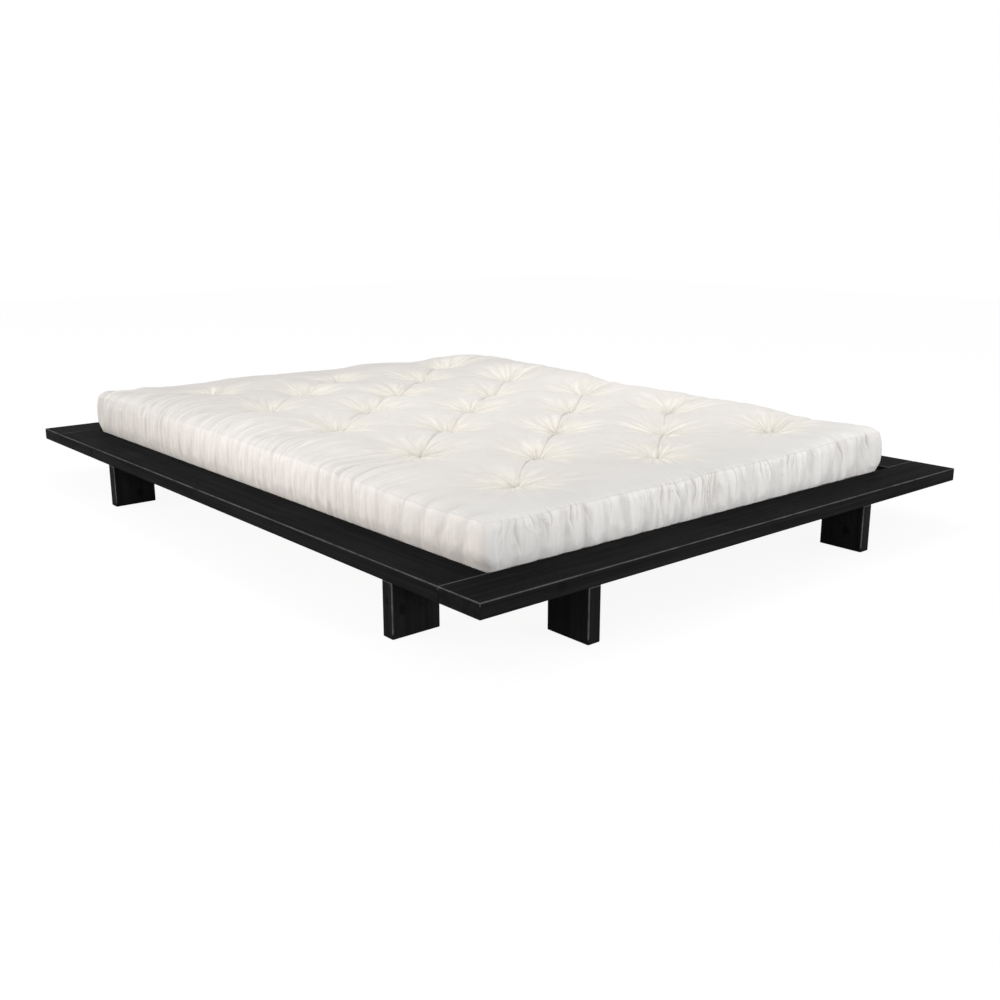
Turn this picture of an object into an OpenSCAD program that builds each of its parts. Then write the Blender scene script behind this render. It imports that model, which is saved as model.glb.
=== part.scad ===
// Low platform double bed: a flat frame of planks on plank legs, with a slat base
// and a tufted futon mattress that lies loose in the frame's recess.
// Origin: the middle of the footprint, on the floor. +Y to the head, +X to the right
// seen from the foot, +Z up. Millimetres.

/* [Mattress] */
// Width of the mattress
mattress_width = 1400; // [1200:10:1800]
// Length of the mattress
mattress_length = 2000; // [1900:10:2200]
// Height of the top seam over the underside at the foot
seam_height_foot = 119; // [100:1:160]
// Height of the top seam over the underside at the head
seam_height_head = 138; // [100:1:170]
// How far the filling swells over the seam
crown = 24; // [10:1:40]
// How much higher the filling is piled towards the head's right corner
hump = 10; // [0:1:20]
// How far the tufts pull the top down below the crown
tuft_depth = 34; // [10:1:50]
// How far the sides swell out over the rails
side_bulge = 5; // [0:1:12]
// How far the underside's edge is drawn in
bottom_draw = 12; // [5:1:20]
// Room between the mattress and the rails that it is pushed up to
mattress_clearance = 0.6; // [0.3:0.1:3]
// Distance between neighbouring tuft columns
tuft_pitch_x = 237; // [150:1:260]
// Distance between neighbouring tuft rows
tuft_pitch_y = 187; // [120:1:210]
// How far the tufts' middle lies right of the mattress's middle
tuft_shift_x = 41; // [-60:1:60]
// How far the tufts' middle lies past the mattress's middle, towards the head
tuft_shift_y = -36; // [-60:1:60]
// How far the loose right side has spread at its foot end
spread_foot = 25; // [0:1:30]
// How far the loose right side has spread at its head end
spread_head = 50; // [0:1:60]
// Foam core inside the filling: distance from its sides to the mattress's sides
core_inset = 60; // [40:5:120]
// Thickness of the foam core
core_thickness = 60; // [40:5:80]
// Diameter of a tuft thread
tuft_thread_d = 2.4; // [1:0.1:4]

/* [Frame] */
// Width of the frame planks
plank_width = 128; // [100:1:180]
// Thickness of the frame and leg planks
plank_thickness = 35; // [28:1:50]
// Room beside the mattress at the right
side_room = 84; // [10:1:150]
// Room beside the mattress at the head
head_room = 24; // [5:1:60]
// Eased edge of every plank
plank_ease = 2.5; // [0.5:0.1:5]

/* [Legs] */
// Height of the legs, up to the rails' undersides
leg_height = 125; // [110:1:300]
// Width of a leg plank
leg_width = 124; // [90:1:128]
// From the foot end to the side rails' first legs
side_leg_from_foot = 287; // [200:1:400]
// From the head end to the side rails' second legs
side_leg_from_head = 525; // [250:1:650]
// From the left end to the end rails' first legs
end_leg_from_left = 289; // [200:1:400]
// From the right end to the end rails' second legs
end_leg_from_right = 416; // [200:1:500]
// Distance between the two centre legs, middle to middle
centre_leg_spacing = 1000; // [600:10:1300]
// Room round a ledge in a leg's notch
notch_room = 0.5; // [0.3:0.1:2]

/* [Slat base] */
// Width of a ledge batten
ledge_width = 45; // [35:1:60]
// Height of a ledge batten
ledge_height = 27; // [20:1:40]
// How far a ledge reaches under its rail
ledge_lap = 20; // [15:1:25]
// Width of a slat
slat_width = 70; // [50:1:80]
// Thickness of a slat
slat_thickness = 18; // [12:1:22]
// Eased edge of a slat, a ledge and the centre beam
slat_ease = 1.5; // [0.5:0.1:3]
// Room at each end of a slat
slat_end_room = 3; // [1:0.5:8]
// Room between the end rails and the first and last slats
slat_edge_room = 27; // [10:1:40]
// Number of slats
slat_count = 16; // [12:1:17]
// Width of the centre beam
beam_width = 45; // [40:1:60]
// Height of the centre beam
beam_height = 60; // [50:1:70]
// Width of a webbing tape
webbing_width = 25; // [15:1:40]
// Thickness of a webbing tape
webbing_thickness = 1.2; // [0.8:0.1:2]
// Distance from the middle of the bed to each webbing tape
webbing_offset = 360; // [200:10:500]
// Room between the slats and the mattress's underside
mattress_rest_gap = 0.3; // [0.2:0.1:0.6]

/* [Fixings] */
// Diameter of a dowel in a corner joint
corner_dowel_d = 12; // [8:1:14]
// Length of a dowel in a corner joint
corner_dowel_length = 60; // [40:2:80]
// Distance between the two dowels of a corner joint
corner_dowel_spacing = 48; // [30:1:70]
// Diameter of a dowel in a leg
leg_dowel_d = 10; // [6:1:12]
// Length of a dowel in a leg
leg_dowel_length = 48; // [30:2:50]
// Distance between the two dowels of a leg
leg_dowel_spacing = 64; // [40:1:70]
// Distance between the two dowels of a centre leg
beam_dowel_spacing = 22; // [16:1:28]
// Room round a dowel, and past its ends
dowel_room = 0.1; // [0.05:0.05:0.3]
// Shank diameter of a screw
screw_d = 4; // [3:0.5:5]
// Head diameter of a screw
screw_head_d = 8; // [6.5:0.5:9]
// Head height of a screw
screw_head_height = 2; // [1.5:0.1:3]
// Length of a short screw under its head
short_screw_length = 16; // [12:1:20]
// How deep a ledge screw goes into its rail
ledge_screw_bite = 18; // [12:1:25]
// How deep a slat screw goes into its ledge
slat_screw_bite = 17; // [10:1:22]
// Room round a screw's shank
screw_room = 0.1; // [0.05:0.05:0.3]
// Width of a leg bracket
bracket_width = 40; // [30:1:60]
// Length of each arm of a leg bracket
bracket_arm = 40; // [30:1:60]
// Thickness of a leg bracket
bracket_thickness = 3; // [2:0.5:5]
// Width of a corner plate
corner_plate_width = 72; // [60:1:80]
// Length of a corner plate
corner_plate_length = 100; // [80:1:140]
// Thickness of a corner plate
corner_plate_thickness = 3; // [2:0.5:5]
// Thickness of a beam shoe's steel
shoe_thickness = 2.5; // [2:0.5:4]
// How far a beam shoe reaches under its beam
shoe_depth = 40; // [30:1:60]
// Width of each ear of a beam shoe
shoe_ear = 22; // [18:1:30]
// Length of a webbing staple's crown
staple_crown = 10; // [6:1:14]
// Thickness of a staple's wire
staple_wire = 0.8; // [0.5:0.1:1.2]
// How deep a staple goes into its slat
staple_bite = 8; // [5:1:12]

/* [Hidden] */
$fn = 32;
eps = 0.01;

opening_width = mattress_width + side_room;
opening_length = mattress_length + head_room;
frame_width = opening_width + 2 * plank_width;
frame_length = opening_length + 2 * plank_width;
inner_x = opening_width / 2;
inner_y = opening_length / 2;
outer_x = frame_width / 2;
outer_y = frame_length / 2;
rail_top = leg_height + plank_thickness;
leg_inset = (plank_width - leg_width) / 2;

// Places of the legs' lower faces along their rails
side_leg_y = [-outer_y + side_leg_from_foot, outer_y - side_leg_from_head - plank_thickness];
end_leg_x = [-outer_x + end_leg_from_left, outer_x - end_leg_from_right - plank_thickness];
centre_leg_y = [-centre_leg_spacing / 2, centre_leg_spacing / 2];

// Ledges: top level with the rails' undersides, under the rails' inner edges
ledge_z = leg_height - ledge_height;
ledge_outer_x = inner_x + ledge_lap;
ledge_inner_x = ledge_outer_x - ledge_width;
ledge_outer_y = inner_y + ledge_lap;
ledge_inner_y = ledge_outer_y - ledge_width;

// Beam and slats
beam_z = leg_height - beam_height;
beam_end = ledge_inner_y;
slat_z = leg_height;
slat_length = opening_width - 2 * slat_end_room;
slat_pitch = (opening_length - 2 * slat_edge_room - slat_width) / (slat_count - 1);
slat_y = [for (i = [0:slat_count - 1]) -inner_y + slat_edge_room + slat_width / 2 + i * slat_pitch];

// Screws up through a ledge into its rail: one before, some between, one after the legs
function between(a, b, n) = [for (k = [1:n]) a + (b - a) * k / (n + 1)];
function clear_of_legs(low, legs, high, n) = concat(
    between(low, legs[0], 1),
    between(legs[0] + plank_thickness, legs[1], n),
    between(legs[1] + plank_thickness, high, 1));
side_ledge_screws = 4;
end_ledge_screws = 3;
side_ledge_screw_y = clear_of_legs(-ledge_inner_y, side_leg_y, ledge_inner_y, side_ledge_screws);
end_ledge_screw_x = clear_of_legs(-ledge_inner_x, end_leg_x, ledge_inner_x, end_ledge_screws);
ledge_screw_inset = ledge_lap / 2;
ledge_screw_length = ledge_height + ledge_screw_bite;
slat_screw_length = slat_thickness + slat_screw_bite;
slat_screw_x = (inner_x - slat_end_room + ledge_inner_x) / 2;

// Leg dowels and brackets
leg_mid = plank_width / 2;
bracket_screw_pitch = bracket_width / 2;
bracket_screw_share = 0.65;
bracket_screw_out = bracket_arm * bracket_screw_share;
corner_dowel_z = leg_height + plank_thickness / 2;
corner_plate_x = outer_x - ledge_lap / 2 - corner_plate_width / 2;
corner_screw_dx = corner_plate_width / 2 - screw_head_d;
corner_screw_dy = corner_plate_length / 4;

// Mattress: its corner by the left and foot rails, and its underside on the slats
mattress_x = -inner_x + mattress_clearance;
mattress_y = -inner_y + mattress_clearance;
mattress_z = slat_z + slat_thickness + mattress_rest_gap;
tuft_columns = 5;
tuft_rows = 9;
tuft_middle = [mattress_width / 2 + tuft_shift_x, mattress_length / 2 + tuft_shift_y];
tuft_first = [tuft_middle[0] - 2 * tuft_pitch_x, tuft_middle[1] - 4 * tuft_pitch_y];
tufts = [for (j = [0:tuft_rows - 1], i = [0:tuft_columns - 1]) if ((i + j) % 2 == 0)
    [tuft_first[0] + i * tuft_pitch_x, tuft_first[1] + j * tuft_pitch_y]];
tuft_reach = 62;
edge_reach = 95;

function slat_name(i) = str("slat_", i < 10 ? "0" : "", i);

lacquer = "#1d1d20";
pine = "#d9b98a";
steel = "#8f9499";
cotton = "#ece8de";

// A rectangle with its corners cut off at 45 degrees
module eased_rectangle(a, b, ease) {
    polygon([[ease, 0], [a - ease, 0], [a, ease], [a, b - ease],
             [a - ease, b], [ease, b], [0, b - ease], [0, ease]]);
}

// A plank from the origin to [a, b, c] with all its edges eased
module plank(a, b, c, ease = plank_ease) {
    intersection() {
        linear_extrude(c) eased_rectangle(a, b, ease);
        translate([0, b, 0]) rotate([90, 0, 0]) linear_extrude(b) eased_rectangle(a, c, ease);
        rotate([90, 0, 90]) linear_extrude(a) eased_rectangle(b, c, ease);
    }
}

// Children at x, and again mirrored at -x
module both_sides() {
    children();
    mirror([1, 0, 0]) children();
}

// Children at y, and again mirrored at -y
module both_ends() {
    children();
    mirror([0, 1, 0]) children();
}

// A screw with its head's underside at the origin, pointing along +Z
module screw(length) {
    rotate_extrude() polygon([[0, -screw_head_height], [screw_head_d / 4, -screw_head_height],
        [screw_head_d / 2, -screw_head_height / 2], [screw_head_d / 2, 0], [screw_d / 2, 0],
        [screw_d / 2, length - screw_d], [0, length]]);
}

// A screw whose countersunk head ends flush at the origin, pointing along +Z
module flush_screw(length) {
    rotate_extrude() polygon([[0, 0], [screw_head_d / 2, 0], [screw_d / 2, screw_head_height],
        [screw_d / 2, length - screw_d], [0, length]]);
}

// The hole for a screw's shank, along +Z
module screw_hole(length) {
    translate([0, 0, -eps]) cylinder(d = screw_d + 2 * screw_room, h = length + screw_room + eps);
}

// The countersunk hole for a flush screw, along +Z
module flush_hole(length) {
    r = screw_head_d / 2 + screw_room;
    screw_hole(length);
    rotate_extrude() polygon([[0, -eps], [r + eps, -eps], [screw_d / 2 + screw_room - eps,
        screw_head_height + eps], [0, screw_head_height + eps]]);
}

// A dowel or its hole, standing on the origin along +Z
module dowel(d, length) {
    cylinder(d = d, h = length);
}
module dowel_hole(d, length) {
    translate([0, 0, -dowel_room]) cylinder(d = d + 2 * dowel_room, h = length + 2 * dowel_room);
}

// Where each kind of fixing sits: children are placed once for every fixing

module at_corner_dowels() {
    both_ends() both_sides() for (s = [-1, 1])
        translate([outer_x - plank_width / 2 + s * corner_dowel_spacing / 2,
            inner_y - corner_dowel_length / 2, corner_dowel_z]) rotate([-90, 0, 0]) children();
}

module at_side_legs() {
    both_sides() for (y = side_leg_y) translate([outer_x - leg_mid, y, 0]) children();
}

module at_end_legs() {
    both_ends() for (x = end_leg_x) translate([x, outer_y - leg_mid, 0])
        mirror([1, 0, 0]) rotate([0, 0, 90]) children();
}

module at_all_legs() {
    at_side_legs() children();
    at_end_legs() children();
}

module at_leg_dowels() {
    at_all_legs() for (s = [-1, 1])
        translate([s * leg_dowel_spacing / 2, plank_thickness / 2, leg_height - leg_dowel_length / 2])
            children();
}

module at_centre_leg_dowels() {
    for (y = centre_leg_y, s = [-1, 1])
        translate([s * beam_dowel_spacing / 2, y, beam_z - leg_dowel_length / 2]) children();
}

module at_bracket_rail_screws() {
    at_all_legs() for (s = [-1, 1])
        translate([s * bracket_screw_pitch / 2, plank_thickness + bracket_screw_out,
            leg_height - bracket_thickness]) children();
}

module at_bracket_leg_screws() {
    at_all_legs() for (s = [-1, 1])
        translate([s * bracket_screw_pitch / 2, plank_thickness + bracket_thickness,
            leg_height - bracket_screw_out]) rotate([90, 0, 0]) children();
}

module at_corner_plates() {
    both_ends() both_sides() translate([corner_plate_x, inner_y, leg_height - corner_plate_thickness])
        children();
}

module at_corner_screws() {
    at_corner_plates() for (sx = [-1, 1], sy = [-1, 1])
        translate([sx * corner_screw_dx, sy * corner_screw_dy, 0]) children();
}

module at_ledge_screws() {
    both_sides() for (y = side_ledge_screw_y)
        translate([ledge_outer_x - ledge_screw_inset, y, ledge_z]) children();
    both_ends() for (x = end_ledge_screw_x)
        translate([x, ledge_outer_y - ledge_screw_inset, ledge_z]) children();
}

module at_slat_screws() {
    both_sides() for (y = [slat_y[0], slat_y[slat_count - 1]])
        translate([slat_screw_x, y, slat_z + slat_thickness]) mirror([0, 0, 1]) children();
}

module at_shoe_ledge_screws() {
    both_ends() both_sides()
        translate([beam_width / 2 + shoe_thickness + shoe_ear / 2, beam_end - shoe_thickness,
            ledge_z + ledge_height / 2]) rotate([-90, 0, 0]) children();
}

module at_shoe_beam_screws() {
    both_ends() both_sides()
        translate([beam_width / 2 + shoe_thickness, beam_end - shoe_depth / 2, beam_z + beam_height / 2])
            rotate([0, -90, 0]) children();
}

// Frame

module rail_holes() {
    at_corner_dowels() dowel_hole(corner_dowel_d, corner_dowel_length);
    at_leg_dowels() dowel_hole(leg_dowel_d, leg_dowel_length);
    at_bracket_rail_screws() screw_hole(short_screw_length);
    at_corner_screws() screw_hole(short_screw_length);
    at_ledge_screws() screw_hole(ledge_screw_length);
}

module side_rail(side) {
    color(lacquer) difference() {
        translate([side > 0 ? inner_x : -outer_x, -inner_y, leg_height])
            plank(plank_width, opening_length, plank_thickness);
        rail_holes();
    }
}

module end_rail(end) {
    color(lacquer) difference() {
        translate([-outer_x, end > 0 ? inner_y : -outer_y, leg_height])
            plank(frame_width, plank_width, plank_thickness);
        rail_holes();
    }
}

// A leg in its own place: width along X about 0, thickness from 0 along +Y.
// The notch lets the ledge pass at the side of the bed's middle, which is -X here.
module leg_blank() {
    difference() {
        translate([-leg_width / 2, 0, 0]) plank(leg_width, plank_thickness, leg_height);
        translate([-plank_width / 2 - eps, -eps, ledge_z - notch_room])
            cube([ledge_lap + notch_room + eps, plank_thickness + 2 * eps, ledge_height + notch_room + eps]);
        for (s = [-1, 1]) {
            translate([s * leg_dowel_spacing / 2, plank_thickness / 2, leg_height - leg_dowel_length / 2])
                dowel_hole(leg_dowel_d, leg_dowel_length);
            translate([s * bracket_screw_pitch / 2, plank_thickness + bracket_thickness,
                leg_height - bracket_screw_out]) rotate([90, 0, 0]) screw_hole(short_screw_length);
        }
    }
}

module side_leg(side, y) {
    color(lacquer) mirror([side > 0 ? 0 : 1, 0, 0])
        translate([outer_x - leg_mid, y, 0]) leg_blank();
}

module end_leg(end, x) {
    color(lacquer) mirror([0, end > 0 ? 0 : 1, 0])
        translate([x, outer_y - leg_mid, 0]) mirror([1, 0, 0]) rotate([0, 0, 90]) leg_blank();
}

module side_ledge(side) {
    color(lacquer) difference() {
        translate([side > 0 ? ledge_inner_x : -ledge_outer_x, -ledge_outer_y, ledge_z])
            plank(ledge_width, 2 * ledge_outer_y, ledge_height, slat_ease);
        at_ledge_screws() screw_hole(ledge_screw_length);
        at_slat_screws() screw_hole(slat_screw_length);
    }
}

module end_ledge(end) {
    color(lacquer) difference() {
        translate([-ledge_inner_x, end > 0 ? ledge_inner_y : -ledge_outer_y, ledge_z])
            plank(2 * ledge_inner_x, ledge_width, ledge_height, slat_ease);
        at_ledge_screws() screw_hole(ledge_screw_length);
        at_shoe_ledge_screws() screw_hole(short_screw_length);
    }
}

// Slat base

module centre_beam() {
    color(lacquer) difference() {
        translate([-beam_width / 2, -beam_end, beam_z])
            plank(beam_width, 2 * beam_end, beam_height, slat_ease);
        at_centre_leg_dowels() dowel_hole(leg_dowel_d, leg_dowel_length);
        at_shoe_beam_screws() screw_hole(short_screw_length);
    }
}

module centre_leg(y) {
    color(lacquer) difference() {
        translate([-leg_width / 2, y - plank_thickness / 2, 0])
            plank(leg_width, plank_thickness, beam_z);
        at_centre_leg_dowels() dowel_hole(leg_dowel_d, leg_dowel_length);
    }
}

module slat(i) {
    color(pine) difference() {
        translate([-slat_length / 2, slat_y[i - 1] - slat_width / 2, slat_z])
            plank(slat_length, slat_width, slat_thickness, slat_ease);
        if (i == 1 || i == slat_count) at_slat_screws() flush_hole(slat_screw_length);
    }
}

module webbing(side) {
    color("#cfc9b8") translate([side * webbing_offset - webbing_width / 2, slat_y[0] - webbing_width / 2,
        slat_z - webbing_thickness])
        cube([webbing_width, slat_y[slat_count - 1] - slat_y[0] + webbing_width, webbing_thickness]);
}

module webbing_staples() {
    color(steel) for (side = [-1, 1], y = slat_y)
        translate([side * webbing_offset, y, slat_z - webbing_thickness]) {
            translate([-staple_crown / 2, -staple_wire / 2, -staple_wire])
                cube([staple_crown, staple_wire, staple_wire]);
            for (s = [0, 1]) translate([-staple_crown / 2 + s * (staple_crown - staple_wire),
                -staple_wire / 2, -staple_wire])
                cube([staple_wire, staple_wire, staple_wire + webbing_thickness + staple_bite]);
        }
}

// Fixings

module slat_screws() {
    color(steel) at_slat_screws() flush_screw(slat_screw_length);
}

module corner_dowels() {
    color(pine) at_corner_dowels() dowel(corner_dowel_d, corner_dowel_length);
}

module leg_dowels() {
    color(pine) at_leg_dowels() dowel(leg_dowel_d, leg_dowel_length);
}

module centre_leg_dowels() {
    color(pine) at_centre_leg_dowels() dowel(leg_dowel_d, leg_dowel_length);
}

module corner_plates() {
    color(steel) difference() {
        at_corner_plates() translate([-corner_plate_width / 2, -corner_plate_length / 2, 0])
            cube([corner_plate_width, corner_plate_length, corner_plate_thickness]);
        at_corner_screws() screw_hole(short_screw_length);
    }
}

module corner_plate_screws() {
    color(steel) at_corner_screws() screw(short_screw_length);
}

module leg_brackets() {
    color(steel) difference() {
        at_all_legs() {
            translate([-bracket_width / 2, plank_thickness, leg_height - bracket_thickness])
                cube([bracket_width, bracket_arm, bracket_thickness]);
            translate([-bracket_width / 2, plank_thickness, leg_height - bracket_arm])
                cube([bracket_width, bracket_thickness, bracket_arm]);
        }
        at_bracket_rail_screws() screw_hole(short_screw_length);
        at_bracket_leg_screws() screw_hole(short_screw_length);
    }
}

module leg_bracket_screws() {
    color(steel) {
        at_bracket_rail_screws() screw(short_screw_length);
        at_bracket_leg_screws() screw(short_screw_length);
    }
}

module ledge_screws() {
    color(steel) at_ledge_screws() screw(ledge_screw_length);
}

// A steel stirrup under each end of the centre beam, with an ear on each side
module beam_shoes() {
    half = beam_width / 2;
    color(steel) difference() {
        both_ends() translate([0, beam_end, 0]) {
            translate([-half - shoe_thickness, -shoe_depth, beam_z - shoe_thickness])
                cube([beam_width + 2 * shoe_thickness, shoe_depth, shoe_thickness]);
            both_sides() {
                translate([half, -shoe_depth, beam_z - shoe_thickness])
                    cube([shoe_thickness, shoe_depth, leg_height - beam_z]);
                translate([half, -shoe_thickness, ledge_z])
                    cube([shoe_thickness + shoe_ear, shoe_thickness, ledge_height - shoe_thickness]);
            }
        }
        at_shoe_ledge_screws() screw_hole(short_screw_length);
        at_shoe_beam_screws() screw_hole(short_screw_length);
    }
}

module beam_shoe_screws() {
    color(steel) {
        at_shoe_ledge_screws() screw(short_screw_length);
        at_shoe_beam_screws() screw(short_screw_length);
    }
}

// Mattress: worked out in its own plan, from [0, 0] to [width, length]

// Height of the top seam over the underside
function seam_height(y) =
    seam_height_foot + (seam_height_head - seam_height_foot) * y / mattress_length;

// How much of the crown a point has: none at the seam, all of it past edge_reach
function edge_share(x, y) =
    let (d = min(x, mattress_width - x, y, mattress_length - y), t = min(1, d / edge_reach))
    sqrt(1 - (1 - t) * (1 - t));

// How far the tufts pull the top down: a cone-like dip round each, which fades at the seam
function tuft_pull(x, y) = let (pulls = [for (t = tufts)
    exp(-norm([x - t[0], y - t[1]]) / tuft_reach)]) min(1, sum(pulls));
function sum(v, i = 0) = i < len(v) ? v[i] + sum(v, i + 1) : 0;

// A smooth step from 0 at a to 1 at b
function step(v, a, b) = let (t = max(0, min(1, (v - a) / (b - a)))) t * t * (3 - 2 * t);

// The piled filling: it rises past the fourth column and the sixth row, and falls again near the head
hump_from = [tuft_first[0] + 3 * tuft_pitch_x, tuft_first[1] + 4.8 * tuft_pitch_y];
hump_full = [tuft_first[0] + 4 * tuft_pitch_x, tuft_first[1] + 6.3 * tuft_pitch_y];
hump_end = tuft_first[1] + 8 * tuft_pitch_y;
function piled(x, y) = step(x, hump_from[0], hump_full[0]) * step(y, hump_from[1], hump_full[1])
    * (1 - step(y, hump_end, mattress_length));

function top_z(x, y) = seam_height(y)
    + edge_share(x, y) * (crown + hump * piled(x, y) - tuft_depth * tuft_pull(x, y));

// Grid lines across the top: three steps from tuft to tuft, and rows from there to the edges
cells_between = 3;
cells_edge = 3;
function grid_lines(first, pitch, count, size) = concat(
    [for (k = [0:cells_edge - 1]) first * k / cells_edge],
    [for (k = [0:(count - 1) * cells_between]) first + pitch * k / cells_between],
    [for (k = [1:cells_edge]) let (last = first + pitch * (count - 1)) last + (size - last) * k / cells_edge]);
grid_x = grid_lines(tuft_first[0], tuft_pitch_x, tuft_columns, mattress_width);
grid_y = grid_lines(tuft_first[1], tuft_pitch_y, tuft_rows, mattress_length);
nx = len(grid_x);
ny = len(grid_y);

// The edge of the top, once round
rim = concat(
    [for (i = [0:nx - 2]) [grid_x[i], 0]],
    [for (j = [0:ny - 2]) [mattress_width, grid_y[j]]],
    [for (i = [nx - 1:-1:1]) [grid_x[i], mattress_length]],
    [for (j = [ny - 1:-1:1]) [0, grid_y[j]]]);
rim_count = len(rim);

// A point of the rim pushed out by d, and drawn in at the corners
corner_draw = 6;
function outward(p, d) =
    let (sx = p[0] <= 0 ? -1 : p[0] >= mattress_width ? 1 : 0,
         sy = p[1] <= 0 ? -1 : p[1] >= mattress_length ? 1 : 0,
         e = sx != 0 && sy != 0 ? d - corner_draw : d)
    [p[0] + sx * e, p[1] + sy * e];

// The side's rings, from the underside up: [share of the seam's height, distance out]
rail_share = (rail_top + 1 - mattress_z) / seam_height_foot;
side_rings = [
    [0, -bottom_draw], [rail_share / 2, -bottom_draw / 3], [rail_share, 0],
    [0.35, side_bulge], [0.7, side_bulge], [0.92, side_bulge / 2]];
ring_count = len(side_rings);

function top_index(i, j) = j * nx + i;
top_total = nx * ny;
function rim_top_index(k) =
    k < nx - 1 ? top_index(k, 0) :
    k < nx + ny - 2 ? top_index(nx - 1, k - (nx - 1)) :
    k < 2 * nx + ny - 3 ? top_index(nx - 1 - (k - (nx + ny - 2)), ny - 1) :
    top_index(0, ny - 1 - (k - (2 * nx + ny - 3)));
function ring_index(r, k) = top_total + r * rim_count + k % rim_count;
bottom_middle = top_total + ring_count * rim_count;

// The top's outermost points lie on the seam, drawn in a little at the corners
function top_point(i, j) =
    let (x = grid_x[i], y = grid_y[j],
         cx = i == 0 ? 1 : i == nx - 1 ? -1 : 0, cy = j == 0 ? 1 : j == ny - 1 ? -1 : 0,
         c = cx != 0 && cy != 0 ? corner_draw : 0)
    [x + cx * c, y + cy * c, top_z(x, y)];

// A point moved to the right, past the last tufts, by as much as the loose side has spread there
function spread_out(p) =
    let (last = tuft_first[0] + (tuft_columns - 1) * tuft_pitch_x,
         t = max(0, min(1, (p[0] - last) / (mattress_width - last))),
         s = spread_foot + (spread_head - spread_foot) * p[1] / mattress_length)
    [p[0] + s * t * t * (3 - 2 * t), p[1], p[2]];

mattress_points = concat(
    [for (j = [0:ny - 1], i = [0:nx - 1]) spread_out(top_point(i, j))],
    [for (ring = side_rings, p = rim) let (q = outward(p, ring[1]))
        spread_out([q[0], q[1], ring[0] * seam_height(p[1])])],
    [[mattress_width / 2, mattress_length / 2, 0]]);

mattress_faces = concat(
    [for (j = [0:ny - 2], i = [0:nx - 2], half = [0, 1]) half == 0 ?
        [top_index(i, j), top_index(i + 1, j + 1), top_index(i + 1, j)] :
        [top_index(i, j), top_index(i, j + 1), top_index(i + 1, j + 1)]],
    [for (r = [0:ring_count - 2], k = [0:rim_count - 1], half = [0, 1]) half == 0 ?
        [ring_index(r, k), ring_index(r + 1, k + 1), ring_index(r, k + 1)] :
        [ring_index(r, k), ring_index(r + 1, k), ring_index(r + 1, k + 1)]],
    [for (k = [0:rim_count - 1], half = [0, 1]) half == 0 ?
        [ring_index(ring_count - 1, k), rim_top_index((k + 1) % rim_count), ring_index(ring_count - 1, k + 1)] :
        [ring_index(ring_count - 1, k), rim_top_index(k), rim_top_index((k + 1) % rim_count)]],
    [for (k = [0:rim_count - 1]) [ring_index(0, k), ring_index(0, k + 1), bottom_middle]]);

core_z = (seam_height_foot - core_thickness) / 2;

module foam_core() {
    color("#f2e3b3") translate([mattress_x + core_inset, mattress_y + core_inset, mattress_z + core_z])
        cube([mattress_width - 2 * core_inset, mattress_length - 2 * core_inset, core_thickness]);
}

module mattress_cover() {
    color(cotton) difference() {
        translate([mattress_x, mattress_y, mattress_z])
            polyhedron(points = mattress_points, faces = mattress_faces, convexity = 6);
        foam_core();
    }
}

// Each thread runs from just inside the underside to a short stitch in its dip
module tuft_threads() {
    stitch = 3 * tuft_thread_d;
    color("#d8d2c0") for (t = tufts)
        translate([mattress_x + t[0], mattress_y + t[1], mattress_z + tuft_thread_d]) {
            cylinder(d = tuft_thread_d, h = top_z(t[0], t[1]) - tuft_thread_d);
            translate([-stitch / 2, -tuft_thread_d / 2, top_z(t[0], t[1]) - tuft_thread_d])
                cube([stitch, tuft_thread_d, tuft_thread_d]);
        }
}

side_rail(-1);  // side_rail_left
side_rail(1);  // side_rail_right
end_rail(-1);  // foot_rail
end_rail(1);  // head_rail
side_leg(-1, side_leg_y[0]);  // leg_left_foot
side_leg(-1, side_leg_y[1]);  // leg_left_head
side_leg(1, side_leg_y[0]);  // leg_right_foot
side_leg(1, side_leg_y[1]);  // leg_right_head
end_leg(-1, end_leg_x[0]);  // leg_foot_left
end_leg(-1, end_leg_x[1]);  // leg_foot_right
end_leg(1, end_leg_x[0]);  // leg_head_left
end_leg(1, end_leg_x[1]);  // leg_head_right
side_ledge(-1);  // ledge_left
side_ledge(1);  // ledge_right
end_ledge(-1);  // ledge_foot
end_ledge(1);  // ledge_head
centre_beam();
centre_leg(centre_leg_y[0]);  // centre_leg_foot
centre_leg(centre_leg_y[1]);  // centre_leg_head
for (i = [1:slat_count]) slat(i);
webbing(-1);  // webbing_left
webbing(1);  // webbing_right
webbing_staples();
slat_screws();
corner_dowels();
leg_dowels();
centre_leg_dowels();
corner_plates();
corner_plate_screws();
leg_brackets();
leg_bracket_screws();
ledge_screws();
beam_shoes();
beam_shoe_screws();
mattress_cover();
foam_core();
tuft_threads();
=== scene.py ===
import math

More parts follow.
